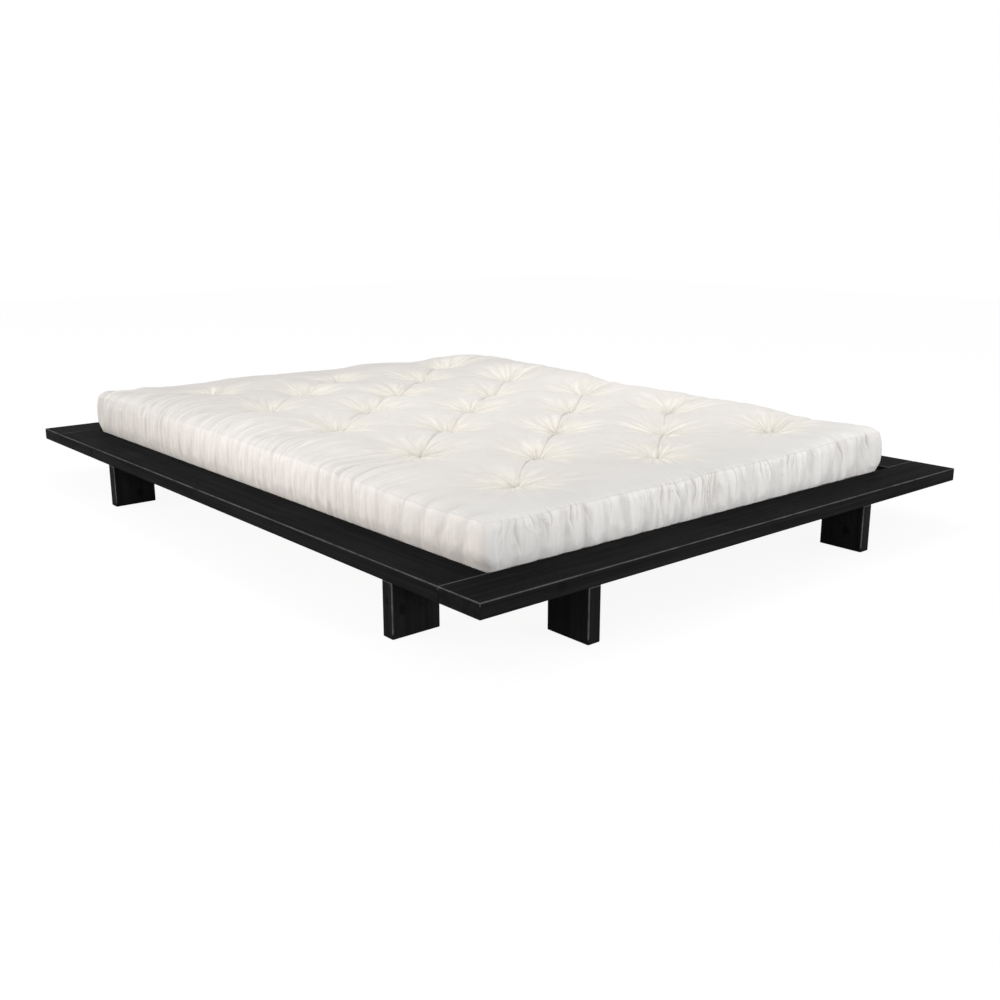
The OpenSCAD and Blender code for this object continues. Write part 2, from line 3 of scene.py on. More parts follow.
import bpy
import numpy as np
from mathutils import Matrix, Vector


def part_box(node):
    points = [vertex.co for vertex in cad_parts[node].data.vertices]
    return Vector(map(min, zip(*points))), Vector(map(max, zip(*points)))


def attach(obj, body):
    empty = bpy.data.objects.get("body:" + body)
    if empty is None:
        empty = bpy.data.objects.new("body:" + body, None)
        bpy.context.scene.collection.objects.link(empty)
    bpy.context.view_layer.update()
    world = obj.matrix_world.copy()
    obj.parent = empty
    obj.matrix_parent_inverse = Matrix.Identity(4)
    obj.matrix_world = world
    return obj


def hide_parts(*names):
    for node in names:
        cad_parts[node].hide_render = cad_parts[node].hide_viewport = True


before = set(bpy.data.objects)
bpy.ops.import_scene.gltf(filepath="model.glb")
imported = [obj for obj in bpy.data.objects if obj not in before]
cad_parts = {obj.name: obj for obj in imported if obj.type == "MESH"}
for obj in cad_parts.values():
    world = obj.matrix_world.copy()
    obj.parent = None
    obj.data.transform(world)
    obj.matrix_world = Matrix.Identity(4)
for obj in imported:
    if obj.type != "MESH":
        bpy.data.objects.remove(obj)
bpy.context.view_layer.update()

# A low platform double bed: lacquered planks, a slat base and a tufted futon mattress.
# Everything is in metres, with the head of the bed towards +Y and the floor at z = 0.

MM = 0.001
X, Y, Z = 0, 1, 2


# Wiring of shader nodes

class Wiring:
    """Adds nodes to one tree. Each input is given as a value or as another node's output."""

    def __init__(self, tree):
        self.tree = tree

    def give(self, socket, value):
        """Sets a socket to a value, or joins another node's output to it."""
        if isinstance(value, bpy.types.NodeSocket):
            self.tree.links.new(value, socket)
        else:
            socket.default_value = value

    def node(self, kind, inputs=None, **settings):
        """A new node with its settings and inputs."""
        made = self.tree.nodes.new(kind)
        for name, value in settings.items():
            setattr(made, name, value)
        for socket, value in (inputs or {}).items():
            self.give(made.inputs[socket], value)
        return made

    def maths(self, operation, *values, clamp=False):
        """One step of arithmetic on one or two numbers."""
        made = self.node("ShaderNodeMath", dict(enumerate(values)), operation=operation, use_clamp=clamp)
        return made.outputs[0]

    def in_turn(self, operation, values):
        """The same step on all the numbers, from the first to the last."""
        total = values[0]
        for value in values[1:]:
            total = self.maths(operation, total, value)
        return total

    def times(self, *values):
        """All the numbers multiplied."""
        return self.in_turn("MULTIPLY", values)

    def plus(self, *values):
        """All the numbers added up."""
        return self.in_turn("ADD", values)

    def minus(self, first, second):
        """The first number less the second."""
        return self.maths("SUBTRACT", first, second)

    def over(self, first, second):
        """The first number divided by the second."""
        return self.maths("DIVIDE", first, second)

    def vector(self, operation, *values):
        """One step of arithmetic on one or two vectors."""
        made = self.node("ShaderNodeVectorMath", dict(enumerate(values)), operation=operation)
        return made.outputs["Value" if operation == "LENGTH" else "Vector"]

    def stretched(self, vector, *factors):
        """A vector with each of its three parts times a factor."""
        return self.vector("MULTIPLY", vector, factors)

    def parts(self, vector):
        """The three parts of a vector."""
        return self.node("ShaderNodeSeparateXYZ", {0: vector}).outputs

    def tinted(self, colour, *tones):
        """A colour made lighter or darker by tones about 1."""
        for tone in tones:
            colour = self.vector("MULTIPLY", colour, tone)
        return colour

    def blend(self, share, first, second):
        """The first colour turning into the second as share goes from 0 to 1."""
        colours = [(*colour, 1) if isinstance(colour, tuple) else colour for colour in (first, second)]
        inputs = {0: share, 6: colours[0], 7: colours[1]}
        return self.node("ShaderNodeMix", inputs, data_type="RGBA").outputs[2]

    def spread(self, value, low, high, to_low=0.0, to_high=1.0):
        """A smooth step of value from low to high, given out between to_low and to_high."""
        return self.node("ShaderNodeMapRange", {
            "Value": value, "From Min": low, "From Max": high, "To Min": to_low, "To Max": to_high,
        }, interpolation_type="SMOOTHSTEP").outputs["Result"]

    def noise(self, vector, scale, detail=2.0, roughness=0.5):
        """Smooth noise from 0 to 1."""
        return self.node("ShaderNodeTexNoise", {
            "Vector": vector, "Scale": scale, "Detail": detail, "Roughness": roughness,
        }).outputs[0]

    def cells(self, vector, scale):
        """Cells round scattered points, with a colour each and the distance from the point."""
        return self.node("ShaderNodeTexVoronoi", {"Vector": vector, "Scale": scale}, feature="F1").outputs

    def ridges(self, vector, share):
        """Folds with sharp valleys: how far a noise is from its middle, times a share."""
        return self.times(self.maths("ABSOLUTE", self.minus(self.noise(vector, 1.0), 0.5)), 2.0, share)

    def attribute(self, name):
        """A vector that the mesh keeps for each point."""
        return self.node("ShaderNodeAttribute", attribute_name=name).outputs["Vector"]

    def number(self, name):
        """A number that the mesh keeps for each point."""
        return self.node("ShaderNodeAttribute", attribute_name=name).outputs["Fac"]

    def cloth_map(self):
        """The flat map of the cloth or thread, in metres along it."""
        return self.node("ShaderNodeUVMap", uv_map="cloth").outputs["UV"]

    def object_coordinates(self):
        """The place on the object, in metres."""
        return self.node("ShaderNodeTexCoord").outputs["Object"]

    def seen(self):
        """1 on camera, glossy and clear rays, and 0 on all others."""
        rays = self.node("ShaderNodeLightPath").outputs
        others = self.maths("MAXIMUM", rays["Is Glossy Ray"], rays["Is Transmission Ray"])
        return self.maths("MAXIMUM", rays["Is Camera Ray"], others)

    def group(self, tree, inputs):
        """The outputs of a node group that is placed with these inputs."""
        return self.node("ShaderNodeGroup", inputs, node_tree=tree).outputs


def start_group(name, inputs):
    """Starts a shader node group. Each input has its first value, or None where it is a vector."""
    tree = bpy.data.node_groups.new(name, "ShaderNodeTree")
    for label, start in inputs.items():
        kind = "NodeSocketVector" if start is None else "NodeSocketFloat"
        socket = tree.interface.new_socket(name=label, in_out="INPUT", socket_type=kind)
        if start is not None:
            socket.default_value = start
    w = Wiring(tree)
    return w, w.node("NodeGroupInput").outputs


def end_group(w, **values):
    """Ends a group with an output for each value, and returns the group."""
    for name in values:
        w.tree.interface.new_socket(name=name, in_out="OUTPUT", socket_type="NodeSocketFloat")
    w.node("NodeGroupOutput", values)
    return w.tree


def timber_grain_group():
    """Growth rings round a pith that runs along X, bent by slow noise and by knots, and long fine fibres."""
    w, given = start_group("timber grain", {"Vector": None, "Ring Width": 0.004, "Swirl": 0.0})
    place = given["Vector"]
    bend = w.times(w.minus(w.noise(w.stretched(place, 1.1, 7.0, 7.0), 1.0), 0.5), 0.03)
    radius = w.plus(w.vector("LENGTH", w.stretched(place, 0.0, 1.0, 1.0)), bend, given["Swirl"])
    turn = w.maths("FRACT", w.over(radius, given["Ring Width"]))
    late = w.times(w.maths("POWER", turn, 2.5), w.spread(turn, 1.0, 0.9))
    fine = w.noise(w.stretched(place, 9.0, 520.0, 520.0), 1.0, 3.0, 0.6)
    broad = w.noise(w.stretched(place, 2.2, 60.0, 60.0), 1.0, 3.0, 0.6)
    return end_group(w, Rings=late, Fibre=fine, Streaks=broad)


def knot_group():
    """A branch cut across: a round heart, a dark rim, and the swirl that it gives to the rings round it."""
    w, given = start_group("knot", {"Vector": None, "Size": 0.01})
    oval = w.vector("LENGTH", w.stretched(given["Vector"], 0.75, 1.0, 1.0))
    uneven = w.plus(w.noise(given["Vector"], 90.0), 0.5)
    distance = w.over(oval, w.times(given["Size"], uneven))
    rim = w.times(w.spread(distance, 0.7, 0.95), w.spread(distance, 1.3, 1.0))
    far = w.over(oval, w.times(given["Size"], 2.6))
    swirl = w.times(w.maths("EXPONENT", w.times(far, far, -1.0)), 0.02)
    return end_group(w, Heart=w.spread(distance, 1.0, 0.8), Rim=rim, Swirl=swirl)


def edge_wear_and_highlight_group():
    """Where an edge is grey, partly from the finish worn thin and partly as a painted highlight: full on the
    edge, gone a Width away, and uneven.
    """
    w, given = start_group("edge wear", {"Edge": 0.0, "Vector": None, "Width": 0.003})
    patchy = w.noise(given["Vector"], 16.0, 3.0, 0.65)
    fine = w.noise(given["Vector"], 140.0)
    width = w.times(given["Width"], w.plus(w.times(patchy, 0.9), 0.55))
    near = w.spread(w.over(given["Edge"], width), 1.0, 0.25)
    amount = w.times(w.spread(patchy, 0.2, 0.6, 0.35, 1.0), w.spread(fine, 0.2, 0.6, 0.65, 1.0))
    return end_group(w, Mask=w.times(near, amount))


def weave_group():
    """A plain weave of two thread systems on a flat map: over and under by turns at every pitch."""
    w, given = start_group("weave", {"Vector": None, "Pitch": 0.0008})
    waves = [w.maths("SINE", w.times(w.over(part, given["Pitch"]), math.pi))
             for part in w.parts(given["Vector"])[:2]]
    slubs = [w.noise(w.stretched(given["Vector"], *thread), 1.0)
             for thread in ((40.0, 900.0, 1.0), (900.0, 40.0, 1.0))]
    return end_group(w, Height=w.plus(w.times(*waves, 0.5), 0.5), Slub=w.times(w.plus(*slubs), 0.5))


def mottle_group():
    """Slow and fine unevenness of a tone, about 1, on three dimensional noise."""
    w, given = start_group("mottle", {"Vector": None, "Scale": 6.0, "Strength": 0.1})
    swing = w.minus(w.noise(given["Vector"], given["Scale"], 3.0, 0.6), 0.5)
    return end_group(w, Tone=w.plus(w.times(swing, given["Strength"], 2.0), 1.0))


GRAIN = timber_grain_group()
KNOT = knot_group()
EDGE_WEAR_AND_HIGHLIGHT = edge_wear_and_highlight_group()
WEAVE = weave_group()
MOTTLE = mottle_group()


# Materials

def mottled(w, place, scale, strength):
    """A tone from the mottle group."""
    return w.group(MOTTLE, {"Vector": place, "Scale": scale, "Strength": strength})["Tone"]


def new_material(name, roughness=0.5, metallic=0.0, specular=0.5, sheen=0.0):
    """A material with its Principled shader's constants. Returns it with its wiring."""
    made = bpy.data.materials.new(name)
    made.use_nodes = True
    w = Wiring(made.node_tree)
    shader = w.tree.nodes["Principled BSDF"].inputs
    w.give(shader["Roughness"], roughness)
    w.give(shader["Metallic"], metallic)
    w.give(shader["Specular IOR Level"], specular)
    w.give(shader["Sheen Weight"], sheen)
    return made, w


def finish_material(w, colour, height, relief, strength, roughness=None):
    """Joins a colour, a height and a roughness to the shader. Relief is the height's real size."""
    shader = w.tree.nodes["Principled BSDF"].inputs
    w.give(shader["Base Color"], colour)
    if roughness is not None:
        w.give(shader["Roughness"], roughness)
    bump = w.node("ShaderNodeBump", {"Height": height, "Distance": relief, "Strength": strength})
    w.give(shader["Normal"], bump.outputs["Normal"])


def lacquer_material():
    """Black lacquer over brushed pine: the grain stays just visible, and the eased edges are grey, partly
    worn and partly a painted highlight.
    """
    early, late, worn_and_highlit = (0.0134, 0.0131, 0.0138), (0.0068, 0.0067, 0.0070), (0.125, 0.125, 0.13)
    knot_heart, knot_rim = (0.0085, 0.0075, 0.007), (0.0025, 0.0022, 0.0022)
    made, w = new_material("black lacquer", specular=0.003)
    timber = w.attribute("timber")
    knots = [w.group(KNOT, {"Vector": w.attribute(name), "Size": size})
             for name, size in (("knot_a", 0.0085), ("knot_b", 0.006))]
    heart, rim = [w.maths("MAXIMUM", *(knot[part] for knot in knots)) for part in ("Heart", "Rim")]
    swirl = w.plus(*(knot["Swirl"] for knot in knots))
    grain = w.group(GRAIN, {"Vector": timber, "Ring Width": 0.0065, "Swirl": swirl})
    wear_and_highlight = w.group(EDGE_WEAR_AND_HIGHLIGHT, {"Edge": w.number("edge"), "Vector": timber, "Width": 0.0028})["Mask"]
    streaks = w.spread(grain["Streaks"], 0.3, 0.7, 0.8, 1.25)
    ringed = w.blend(w.times(grain["Rings"], 0.55), early, late)
    toned = w.tinted(ringed, streaks, mottled(w, timber, 5.0, 0.35), w.number("tone"))
    knotted = w.blend(w.times(rim, 0.3), w.blend(heart, toned, knot_heart), knot_rim)
    # The eased edges' grey is partly worn finish and partly a painted highlight
    colour = w.blend(w.times(wear_and_highlight, 0.8), knotted, worn_and_highlit)
    rough = w.spread(grain["Fibre"], 0.2, 0.8, 0.5, 0.66)
    height = w.plus(w.times(grain["Rings"], 0.8), w.times(grain["Fibre"], 0.6))
    finish_material(w, colour, w.minus(height, w.times(rim, 0.25)), 0.00025, 0.6, rough)
    return made


def bare_timber_material(name, pale, dark, ring_width, pith=(0.0, 0.0, 0.0)):
    """Planed pine or beech without a finish, on the object's own coordinates, with its pith moved off."""
    made, w = new_material(name, specular=0.3)
    moved = w.vector("ADD", w.object_coordinates(), pith)
    grain = w.group(GRAIN, {"Vector": moved, "Ring Width": ring_width})
    fibres = w.spread(grain["Fibre"], 0.25, 0.75, 0.9, 1.08)
    ringed = w.blend(w.times(grain["Rings"], 0.8), pale, dark)
    colour = w.tinted(ringed, fibres, mottled(w, moved, 9.0, 0.14))
    rough = w.spread(grain["Fibre"], 0.2, 0.8, 0.55, 0.75)
    finish_material(w, colour, grain["Fibre"], 0.0002, 0.5, rough)
    return made


def webbing_material():
    """Unbleached tape in a coarse plain weave."""
    made, w = new_material("webbing tape", roughness=0.9, specular=0.2)
    place = w.object_coordinates()
    woven = w.group(WEAVE, {"Vector": place, "Pitch": 0.0016})
    base = w.blend(woven["Height"], (0.42, 0.39, 0.31), (0.62, 0.58, 0.49))
    finish_material(w, w.tinted(base, mottled(w, place, 25.0, 0.12)), woven["Height"], 0.0004, 0.8)
    return made


def steel_material(name, colour, roughness, spangle):
    """Plated steel: pale crystals of zinc or the fine grain of a screw head, slightly dulled in patches."""
    made, w = new_material(name, metallic=1.0)
    place = w.object_coordinates()
    shade = w.node("ShaderNodeSeparateColor", {0: w.cells(place, spangle)["Color"]}).outputs[0]
    dull = w.noise(place, 60.0, 3.0)
    crystals, patches = w.spread(shade, 0.0, 1.0, 0.86, 1.08), w.spread(dull, 0.3, 0.7, 0.92, 1.04)
    rough = w.plus(w.spread(dull, 0.3, 0.7, -0.06, 0.1), roughness)
    finish_material(w, w.tinted(colour, crystals, patches), dull, 0.00005, 0.3, rough)
    return made


def cotton_creases(w):
    """A dark line along the nearest sharp fold, which is painted shade, and the 7 mm wide slope on each side
    of it.
    """
    across, strength, _ = w.parts(w.attribute("fold"))
    beside = w.maths("ABSOLUTE", across)
    line = w.times(w.spread(beside, 0.0034, 0.0006), strength)
    return line, w.times(w.maths("SUBTRACT", 1.0, w.over(beside, 0.007), clamp=True), strength)


def cotton_gathers(w):
    """Fine gathers along the lines that run in from an edge, and their strength."""
    flow = w.attribute("flow")
    strength = w.parts(flow)[2]
    return w.ridges(w.stretched(flow, 60.0, 5.0, 0.0), strength), strength


def cotton_fans(w, cloth):
    """Fine folds that fan out from each tuft, which change slowly over the cloth, and their strength."""
    tuft = w.attribute("tuft")
    way_out = w.vector("NORMALIZE", w.stretched(tuft, 1.0, 1.0, 0.0))
    place = w.vector("ADD", w.stretched(way_out, 2.4, 2.4, 0.0), w.stretched(cloth, 7.0, 7.0, 0.0))
    strength = w.parts(tuft)[2]
    return w.ridges(place, strength), strength


def cotton_material():
    """Unbleached cream cotton ticking, woven, finely crinkled, slightly flecked; painted light warms the dips
    and marks its folds.
    """
    cool, warm, dip_painted_light = (0.840, 0.828, 0.815), (0.868, 0.805, 0.735), (0.915, 0.875, 0.79)
    fleck, seam_thread_and_shade, crease_painted_shade = (0.60, 0.54, 0.44), (0.42, 0.38, 0.33), (0.42, 0.36, 0.30)
    made, w = new_material("cotton cover", roughness=0.92, specular=0.12, sheen=0.08)
    cloth = w.cloth_map()
    woven = w.group(WEAVE, {"Vector": cloth, "Pitch": 0.0009})
    # Painted light: the left side's extra warmth, and the shade attribute's painted light and shade
    colour = w.tinted(w.blend(w.number("warm"), cool, warm), w.number("shade"))
    # Painted light: the dips are brighter and warmer, standing in for light bounced and passed through the
    # cloth
    colour = w.blend(w.spread(w.number("dip"), 0.0, 1.0), colour, dip_painted_light)
    flecks = w.spread(w.noise(cloth, 700.0, 1.0), 0.72, 0.8, 0.0, 0.25)
    colour = w.blend(flecks, w.tinted(colour, mottled(w, w.object_coordinates(), 7.0, 0.03)), fleck)
    # Painted highlights on the gathers' ridges and painted shade in their valleys
    colour = w.tinted(colour, w.spread(woven["Slub"], 0.3, 0.7, 0.975, 1.02), w.number("painted_fold_light"))
    # The seam's line: partly its thread, partly painted shade
    colour = w.blend(w.times(w.number("seam"), 0.17), colour, seam_thread_and_shade)
    line, slope = cotton_creases(w)
    # Painted shade along the creases
    colour = w.blend(w.times(line, 0.75), colour, crease_painted_shade)
    gathers, gathered = cotton_gathers(w)
    fans, fanned = cotton_fans(w, cloth)
    lit = w.minus(w.plus(w.times(gathers, 0.35), w.times(fans, 0.4)),
                  w.plus(w.times(gathered, 0.07), w.times(fanned, 0.08)))
    height = w.minus(w.plus(w.times(gathers, 1.9), w.times(fans, 3.2)), w.times(slope, 0.9))
    crinkle = w.times(w.noise(cloth, 60.0, 3.0), 0.18)
    height = w.plus(height, crinkle, w.times(woven["Height"], 0.03))
    finish_material(w, w.tinted(colour, w.plus(lit, 1.0)), height, 0.0035, 0.7)
    return made


def thread_material():
    """Waxed cotton thread, twisted from two yarns: a sine of the length plus the turn round the thread."""
    made, w = new_material("tuft thread", roughness=0.7, specular=0.25)
    length, turn, _ = w.parts(w.cloth_map())
    lay = w.maths("SINE", w.plus(w.times(length, 3600.0), w.times(turn, 2 * math.pi)))
    strand = w.spread(lay, -0.8, 0.6)
    finish_material(w, w.blend(strand, (0.52, 0.47, 0.38), (0.8, 0.76, 0.66)), strand, 0.0004, 0.8)
    return made


def foam_material():
    """Open-celled upholstery foam with small round pores."""
    made, w = new_material("foam", roughness=0.95, specular=0.1)
    place = w.object_coordinates()
    pores = w.cells(place, 420.0)["Distance"]
    colour = w.blend(w.spread(pores, 0.1, 0.6), (0.55, 0.44, 0.22), (0.82, 0.71, 0.42))
    finish_material(w, w.tinted(colour, mottled(w, place, 14.0, 0.08)), pores, 0.0006, 0.8)
    return made


LACQUER = lacquer_material()
COTTON = cotton_material()
THREAD = thread_material()
FOAM = foam_material()


# Meshes from arrays

def make_piece(name, points, faces, material, attributes=None, uv=None):
    """One smooth object from arrays of points and faces, with attributes and a flat map for each point."""
    mesh = bpy.data.meshes.new(name)
    mesh.from_pydata(points.tolist(), [], faces)
    mesh.update()
    for label, values in (attributes or {}).items():
        kind, field = ("FLOAT_VECTOR", "vector") if values.ndim == 2 else ("FLOAT", "value")
        layer = mesh.attributes.new(label, kind, "POINT")
        layer.data.foreach_set(field, np.ascontiguousarray(values, dtype=np.float32).ravel())
    if uv is not None:
        corners = read_rows(mesh.loops, "vertex_index", len(mesh.loops), 1, np.int32)[:, 0]
        mesh.uv_layers.new(name="cloth").data.foreach_set("uv", uv[corners].astype(np.float32).ravel())
    mesh.polygons.foreach_set("use_smooth", np.ones(len(mesh.polygons), dtype=bool))
    mesh.materials.append(material)
    return new_object(name, mesh)


def new_object(name, data):
    """An object in the scene that holds a mesh, a lamp or a camera."""
    placed = bpy.data.objects.new(name, data)
    bpy.context.scene.collection.objects.link(placed)
    return placed


def read_rows(data, field, rows, width, kind):
    """One field of a mesh's data as an array with that many rows and columns."""
    values = np.empty(rows * width, dtype=kind)
    data.foreach_get(field, values)
    return values.reshape(rows, width)


def ring_quads(first, second):
    """Quads between two closed rings of point numbers, as an array with four columns."""
    return np.stack([first, np.roll(first, -1), np.roll(second, -1), second], axis=-1)


# Planks

EASE = 2.5 * MM
ARC = np.radians([0.0, 30.0, 60.0, 90.0])
FADE = 16 * MM
NOTCH_WIDTH, NOTCH_HEIGHT = 18.5 * MM, 27.5 * MM
NO_KNOT = (9.0, 9.0, 9.0)
# The edges' grey, partly worn and partly a painted highlight, fades downwards: down a rail, or in the last
# 14 mm of a leg, points count as further and further from an edge, by up to 6 mm
EDGE_GREY_FADE, EDGE_GREY_FADE_LEG = 6 * MM, 14 * MM


def outline_turn(corners, inset, ease):
    """One turn round a right-angled outline, drawn in by inset.

    A convex corner becomes a quarter circle of four points, whose radius is what is left of the ease.
    Three more points follow it on each side, so that the grey of the edges can fade, and a concave corner is
    one point.
    Returns the points and each point's distance from the nearest rounded corner's middle.
    """
    count = len(corners)
    along = np.roll(corners, -1, axis=0) - corners
    along /= np.linalg.norm(along, axis=1)[:, None]
    inward = np.stack([-along[:, 1], along[:, 0]], axis=1)
    before = np.roll(inward, 1, axis=0)
    came = np.roll(along, 1, axis=0)
    convex = came[:, 0] * along[:, 1] - came[:, 1] * along[:, 0] > 0
    moved = corners + (before + inward) * inset
    radius = max(ease - inset, 0.3 * ease)
    arc_from_edge = ease * np.abs(ARC - math.pi / 4)
    points, apart = [], []
    for i in range(count):
        j = (i + 1) % count
        reach = min(FADE, 0.4 * np.linalg.norm(moved[j] - moved[i]))
        steps = radius + (reach - radius) * np.array([1, 2, 3]) / 3
        from_arc = steps - radius + arc_from_edge[-1]
        if convex[i]:
            centre = moved[i] + (before[i] + inward[i]) * radius
            circle = np.outer(np.cos(ARC), before[i]) + np.outer(np.sin(ARC), inward[i])
            points += [centre - radius * circle, moved[i] + np.outer(steps, along[i])]
            apart += [arc_from_edge, from_arc]
        else:
            points.append(moved[i][None])
            apart.append(np.array([FADE]))
        if convex[j]:
            points.append(moved[j] - np.outer(steps[::-1], along[i]))
            apart.append(from_arc[::-1])
    return np.concatenate(points), np.concatenate(apart)


def plank_surface(corners, thickness, ease=EASE):
    """A plank sawn to an outline and carried through its thickness.

    Both faces are joined to the sides by a quarter circle: at angle a the outline is drawn in by
    ease * (1 - sin a) and lies ease * (1 - cos a) below the face. Two turns further in lie on each face.
    Returns points as (along, across, depth), faces, and each point's distance from the nearest edge.
    """
    middle = thickness / 2
    half = [(9 * MM, 0.0, 9 * MM), (5 * MM, 0.0, 5 * MM)]
    half += [(ease * (1 - math.sin(a)), ease * (1 - math.cos(a)), ease * abs(a - math.pi / 4)) for a in ARC]
    for share in (0.25, 0.6):
        depth = ease + (middle - ease) * share
        half.append((0.0, depth, depth - ease + ease * math.pi / 4))
    turns = half + [(0.0, middle, middle)] + [(i, thickness - d, e) for i, d, e in half[::-1]]
    points, edge, rings = [], [], []
    for inset, depth, from_face in turns:
        turn, apart = outline_turn(corners, inset, ease)
        on_face = depth in (0.0, thickness)
        rings.append(np.arange(len(turn)) + sum(len(p) for p in points))
        points.append(np.column_stack([turn, np.full(len(turn), depth)]))
        edge.append(np.full(len(turn), from_face) if on_face else np.minimum(apart, from_face))
    quads = np.concatenate([ring_quads(a, b) for a, b in zip(rings, rings[1:])])
    faces = quads.tolist() + [rings[0][::-1].tolist(), rings[-1].tolist()]
    return np.concatenate(points), faces, np.concatenate(edge)


def plank_outline(a, b, notch_side):
    """A rectangle a by b. Where it has a notch, that is cut from its upper corner on the side of the sign."""
    if notch_side == 0:
        return np.array([[0, 0], [a, 0], [a, b], [0, b]])
    step = b - NOTCH_HEIGHT
    corners = np.array([[0, 0], [a, 0], [a, b], [NOTCH_WIDTH, b], [NOTCH_WIDTH, step], [0, step]])
    return corners if notch_side < 0 else (np.array([a, 0]) + corners * [-1, 1])[::-1]


def make_plank(name, grain_axis, depth_axis, seed, notch_side=0, knots=()):
    """A lacquered plank in the place of the CAD node of the same name, sawn to its outline across depth_axis.

    Its rings run round a pith 35 to 75 mm off its middle. Each of up to two knots is a place, with the axis
    that the branch runs along.
    """
    low, high = (np.array(corner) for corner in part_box(name))
    axes = [axis for axis in range(3) if axis != depth_axis] + [depth_axis]
    size = (high - low)[axes]
    points, faces, edge = plank_surface(plank_outline(size[0], size[1], notch_side), size[2])
    places = np.empty_like(points)
    places[:, axes] = points
    places += low
    if np.linalg.det(np.eye(3)[axes]) < 0:
        faces = [face[::-1] for face in faces]
    edge_grey_fades_over = high[Z] - low[Z] if depth_axis == Z else EDGE_GREY_FADE_LEG
    random = np.random.default_rng(seed)
    others = [axis for axis in range(3) if axis != grain_axis]
    thin = min(others, key=lambda axis: high[axis] - low[axis])
    pith = (low + high) / 2
    pith[thin] += random.choice([-1, 1]) * random.uniform(0.035, 0.075)
    pith[[axis for axis in others if axis != thin]] += random.uniform(-0.03, 0.03)
    pith[grain_axis] += random.uniform(-3, 3)
    attributes = {
        "timber": (places - pith)[:, [grain_axis] + others],
        "edge": edge + EDGE_GREY_FADE * np.clip(1 - (places[:, Z] - low[Z]) / edge_grey_fades_over, 0, 1),
        "tone": np.full(len(places), random.uniform(0.9, 1.12)),
    }
    for label, knot in zip(("knot_a", "knot_b"), [*knots, None, None]):
        away = places - (NO_KNOT if knot is None else knot[:3])
        if knot is not None:
            away[:, knot[3]] = 0.0
        attributes[label] = away[:, [grain_axis] + others]
    piece = make_piece(name + "_plank", places, faces, LACQUER, attributes)
    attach(piece, "frame")
    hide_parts(name)


# Each plank's name, the axis its grain runs along, the axis through its thickness, the seed of its grain,
# the side of its notch, and its knots
PLANKS = [
    ("foot_rail", X, Z, 11, 0, [(-0.66, -1.14, 0.146, Y), (0.21, -1.07, 0.160, Z)]),
    ("head_rail", X, Z, 12, 0, [(0.42, 1.06, 0.160, Z), (-0.31, 1.14, 0.142, Y)]),
    ("side_rail_left", Y, Z, 13, 0, [(-0.87, 0.74, 0.145, X), (-0.81, -0.42, 0.160, Z)]),
    ("side_rail_right", Y, Z, 14, 0, [(0.80, 0.22, 0.160, Z), (0.87, -0.57, 0.140, X)]),
    ("leg_left_foot", Z, Y, 21, 1, [(-0.842, -0.853, 0.062, Y), (-0.868, -0.835, 0.081, X)]),
    ("leg_left_head", Z, Y, 22, 1, [(-0.79, 0.58, 0.035, Y)]),
    ("leg_right_foot", Z, Y, 23, -1, [(0.80, -0.85, 0.07, Y)]),
    ("leg_right_head", Z, Y, 24, -1),
    ("leg_foot_left", Z, X, 25, 1),
    ("leg_foot_right", Z, X, 26, 1, [(0.42, -1.09, 0.05, X)]),
    ("leg_head_left", Z, X, 27, -1, [(-0.57, 1.08, 0.06, X)]),
    ("leg_head_right", Z, X, 28, -1),
    ("centre_leg_foot", Z, Y, 31),
    ("centre_leg_head", Z, Y, 32),
    ("centre_beam", Y, Z, 33),
    ("ledge_left", Y, Z, 34),
    ("ledge_right", Y, Z, 35),
    ("ledge_foot", X, Z, 36),
    ("ledge_head", X, Z, 37),
]
for plank in PLANKS:
    make_plank(*plank)


# The mattress

# Its plan runs from (0, 0) at its foot left corner to (WIDTH, LENGTH). A point's share is its part of the
# seam's height: 1 on the top, 0 on the underside.
WIDTH, LENGTH = 1.400, 2.000
CORNER = Vector((-0.7414, -1.0114, 0.1433))
SEAM_FOOT, SEAM_HEAD, SIDE_HEIGHT = 0.119, 0.138, 0.125
CROWN, TUFT_DEPTH = 0.024, 0.031
TUFT_REACH, EDGE_REACH = 0.080, 0.095
# How far the sides stand out at each share
SIDE_PROFILE = [(0.0, -0.012), (0.0725, -0.004), (0.145, 0.0), (0.35, 0.005), (0.7, 0.005), (0.92, 0.0025),
                (1.0, 0.0)]
CORNER_RADIUS, FREE_SWELL = 0.008, 0.010
SPREAD_FOOT, SPREAD_HEAD = 0.025, 0.050
CELL, ROUNDS = 0.0157, 2
UNDER_RINGS = (0.97, 0.75)
# From what part of the half width a point is on the rim, from what share it is on the top, and the least gap
AT_RIM, ON_TOP, NO_GAP = 0.4999, 0.999, 1e-6

STITCH, THREAD_D = 0.0072, 0.0024
threads_low, threads_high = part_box("tuft_threads")
TUFT_X = np.linspace(threads_low[0] + STITCH / 2, threads_high[0] - STITCH / 2, 5) - CORNER[0]
TUFT_Y = np.linspace(threads_low[1] + THREAD_D / 2, threads_high[1] - THREAD_D / 2, 9) - CORNER[1]
TUFT_I, TUFT_J = np.nonzero((np.add.outer(np.arange(5), np.arange(9)) % 2) == 0)
TUFTS = np.column_stack([TUFT_X[TUFT_I], TUFT_Y[TUFT_J]])


def smooth(value, low, high):
    """A smooth step from 0 at low to 1 at high."""
    t = np.clip((value - low) / (high - low), 0, 1)
    return t * t * (3 - 2 * t)


def bell(distance, reach):
    """1 at no distance, falling as a bell curve that is down to 37% at its reach."""
    return np.exp(-(distance / reach) ** 2)


def from_rows(place, rows):
    """The value at each place, on straight lines between rows of (place, value)."""
    return np.interp(place, *np.transpose(rows))


def from_tufts(x, y):
    """The way from every tuft to each place: two arrays with a column for each tuft."""
    return x[..., None] - TUFTS[:, 0], y[..., None] - TUFTS[:, 1]


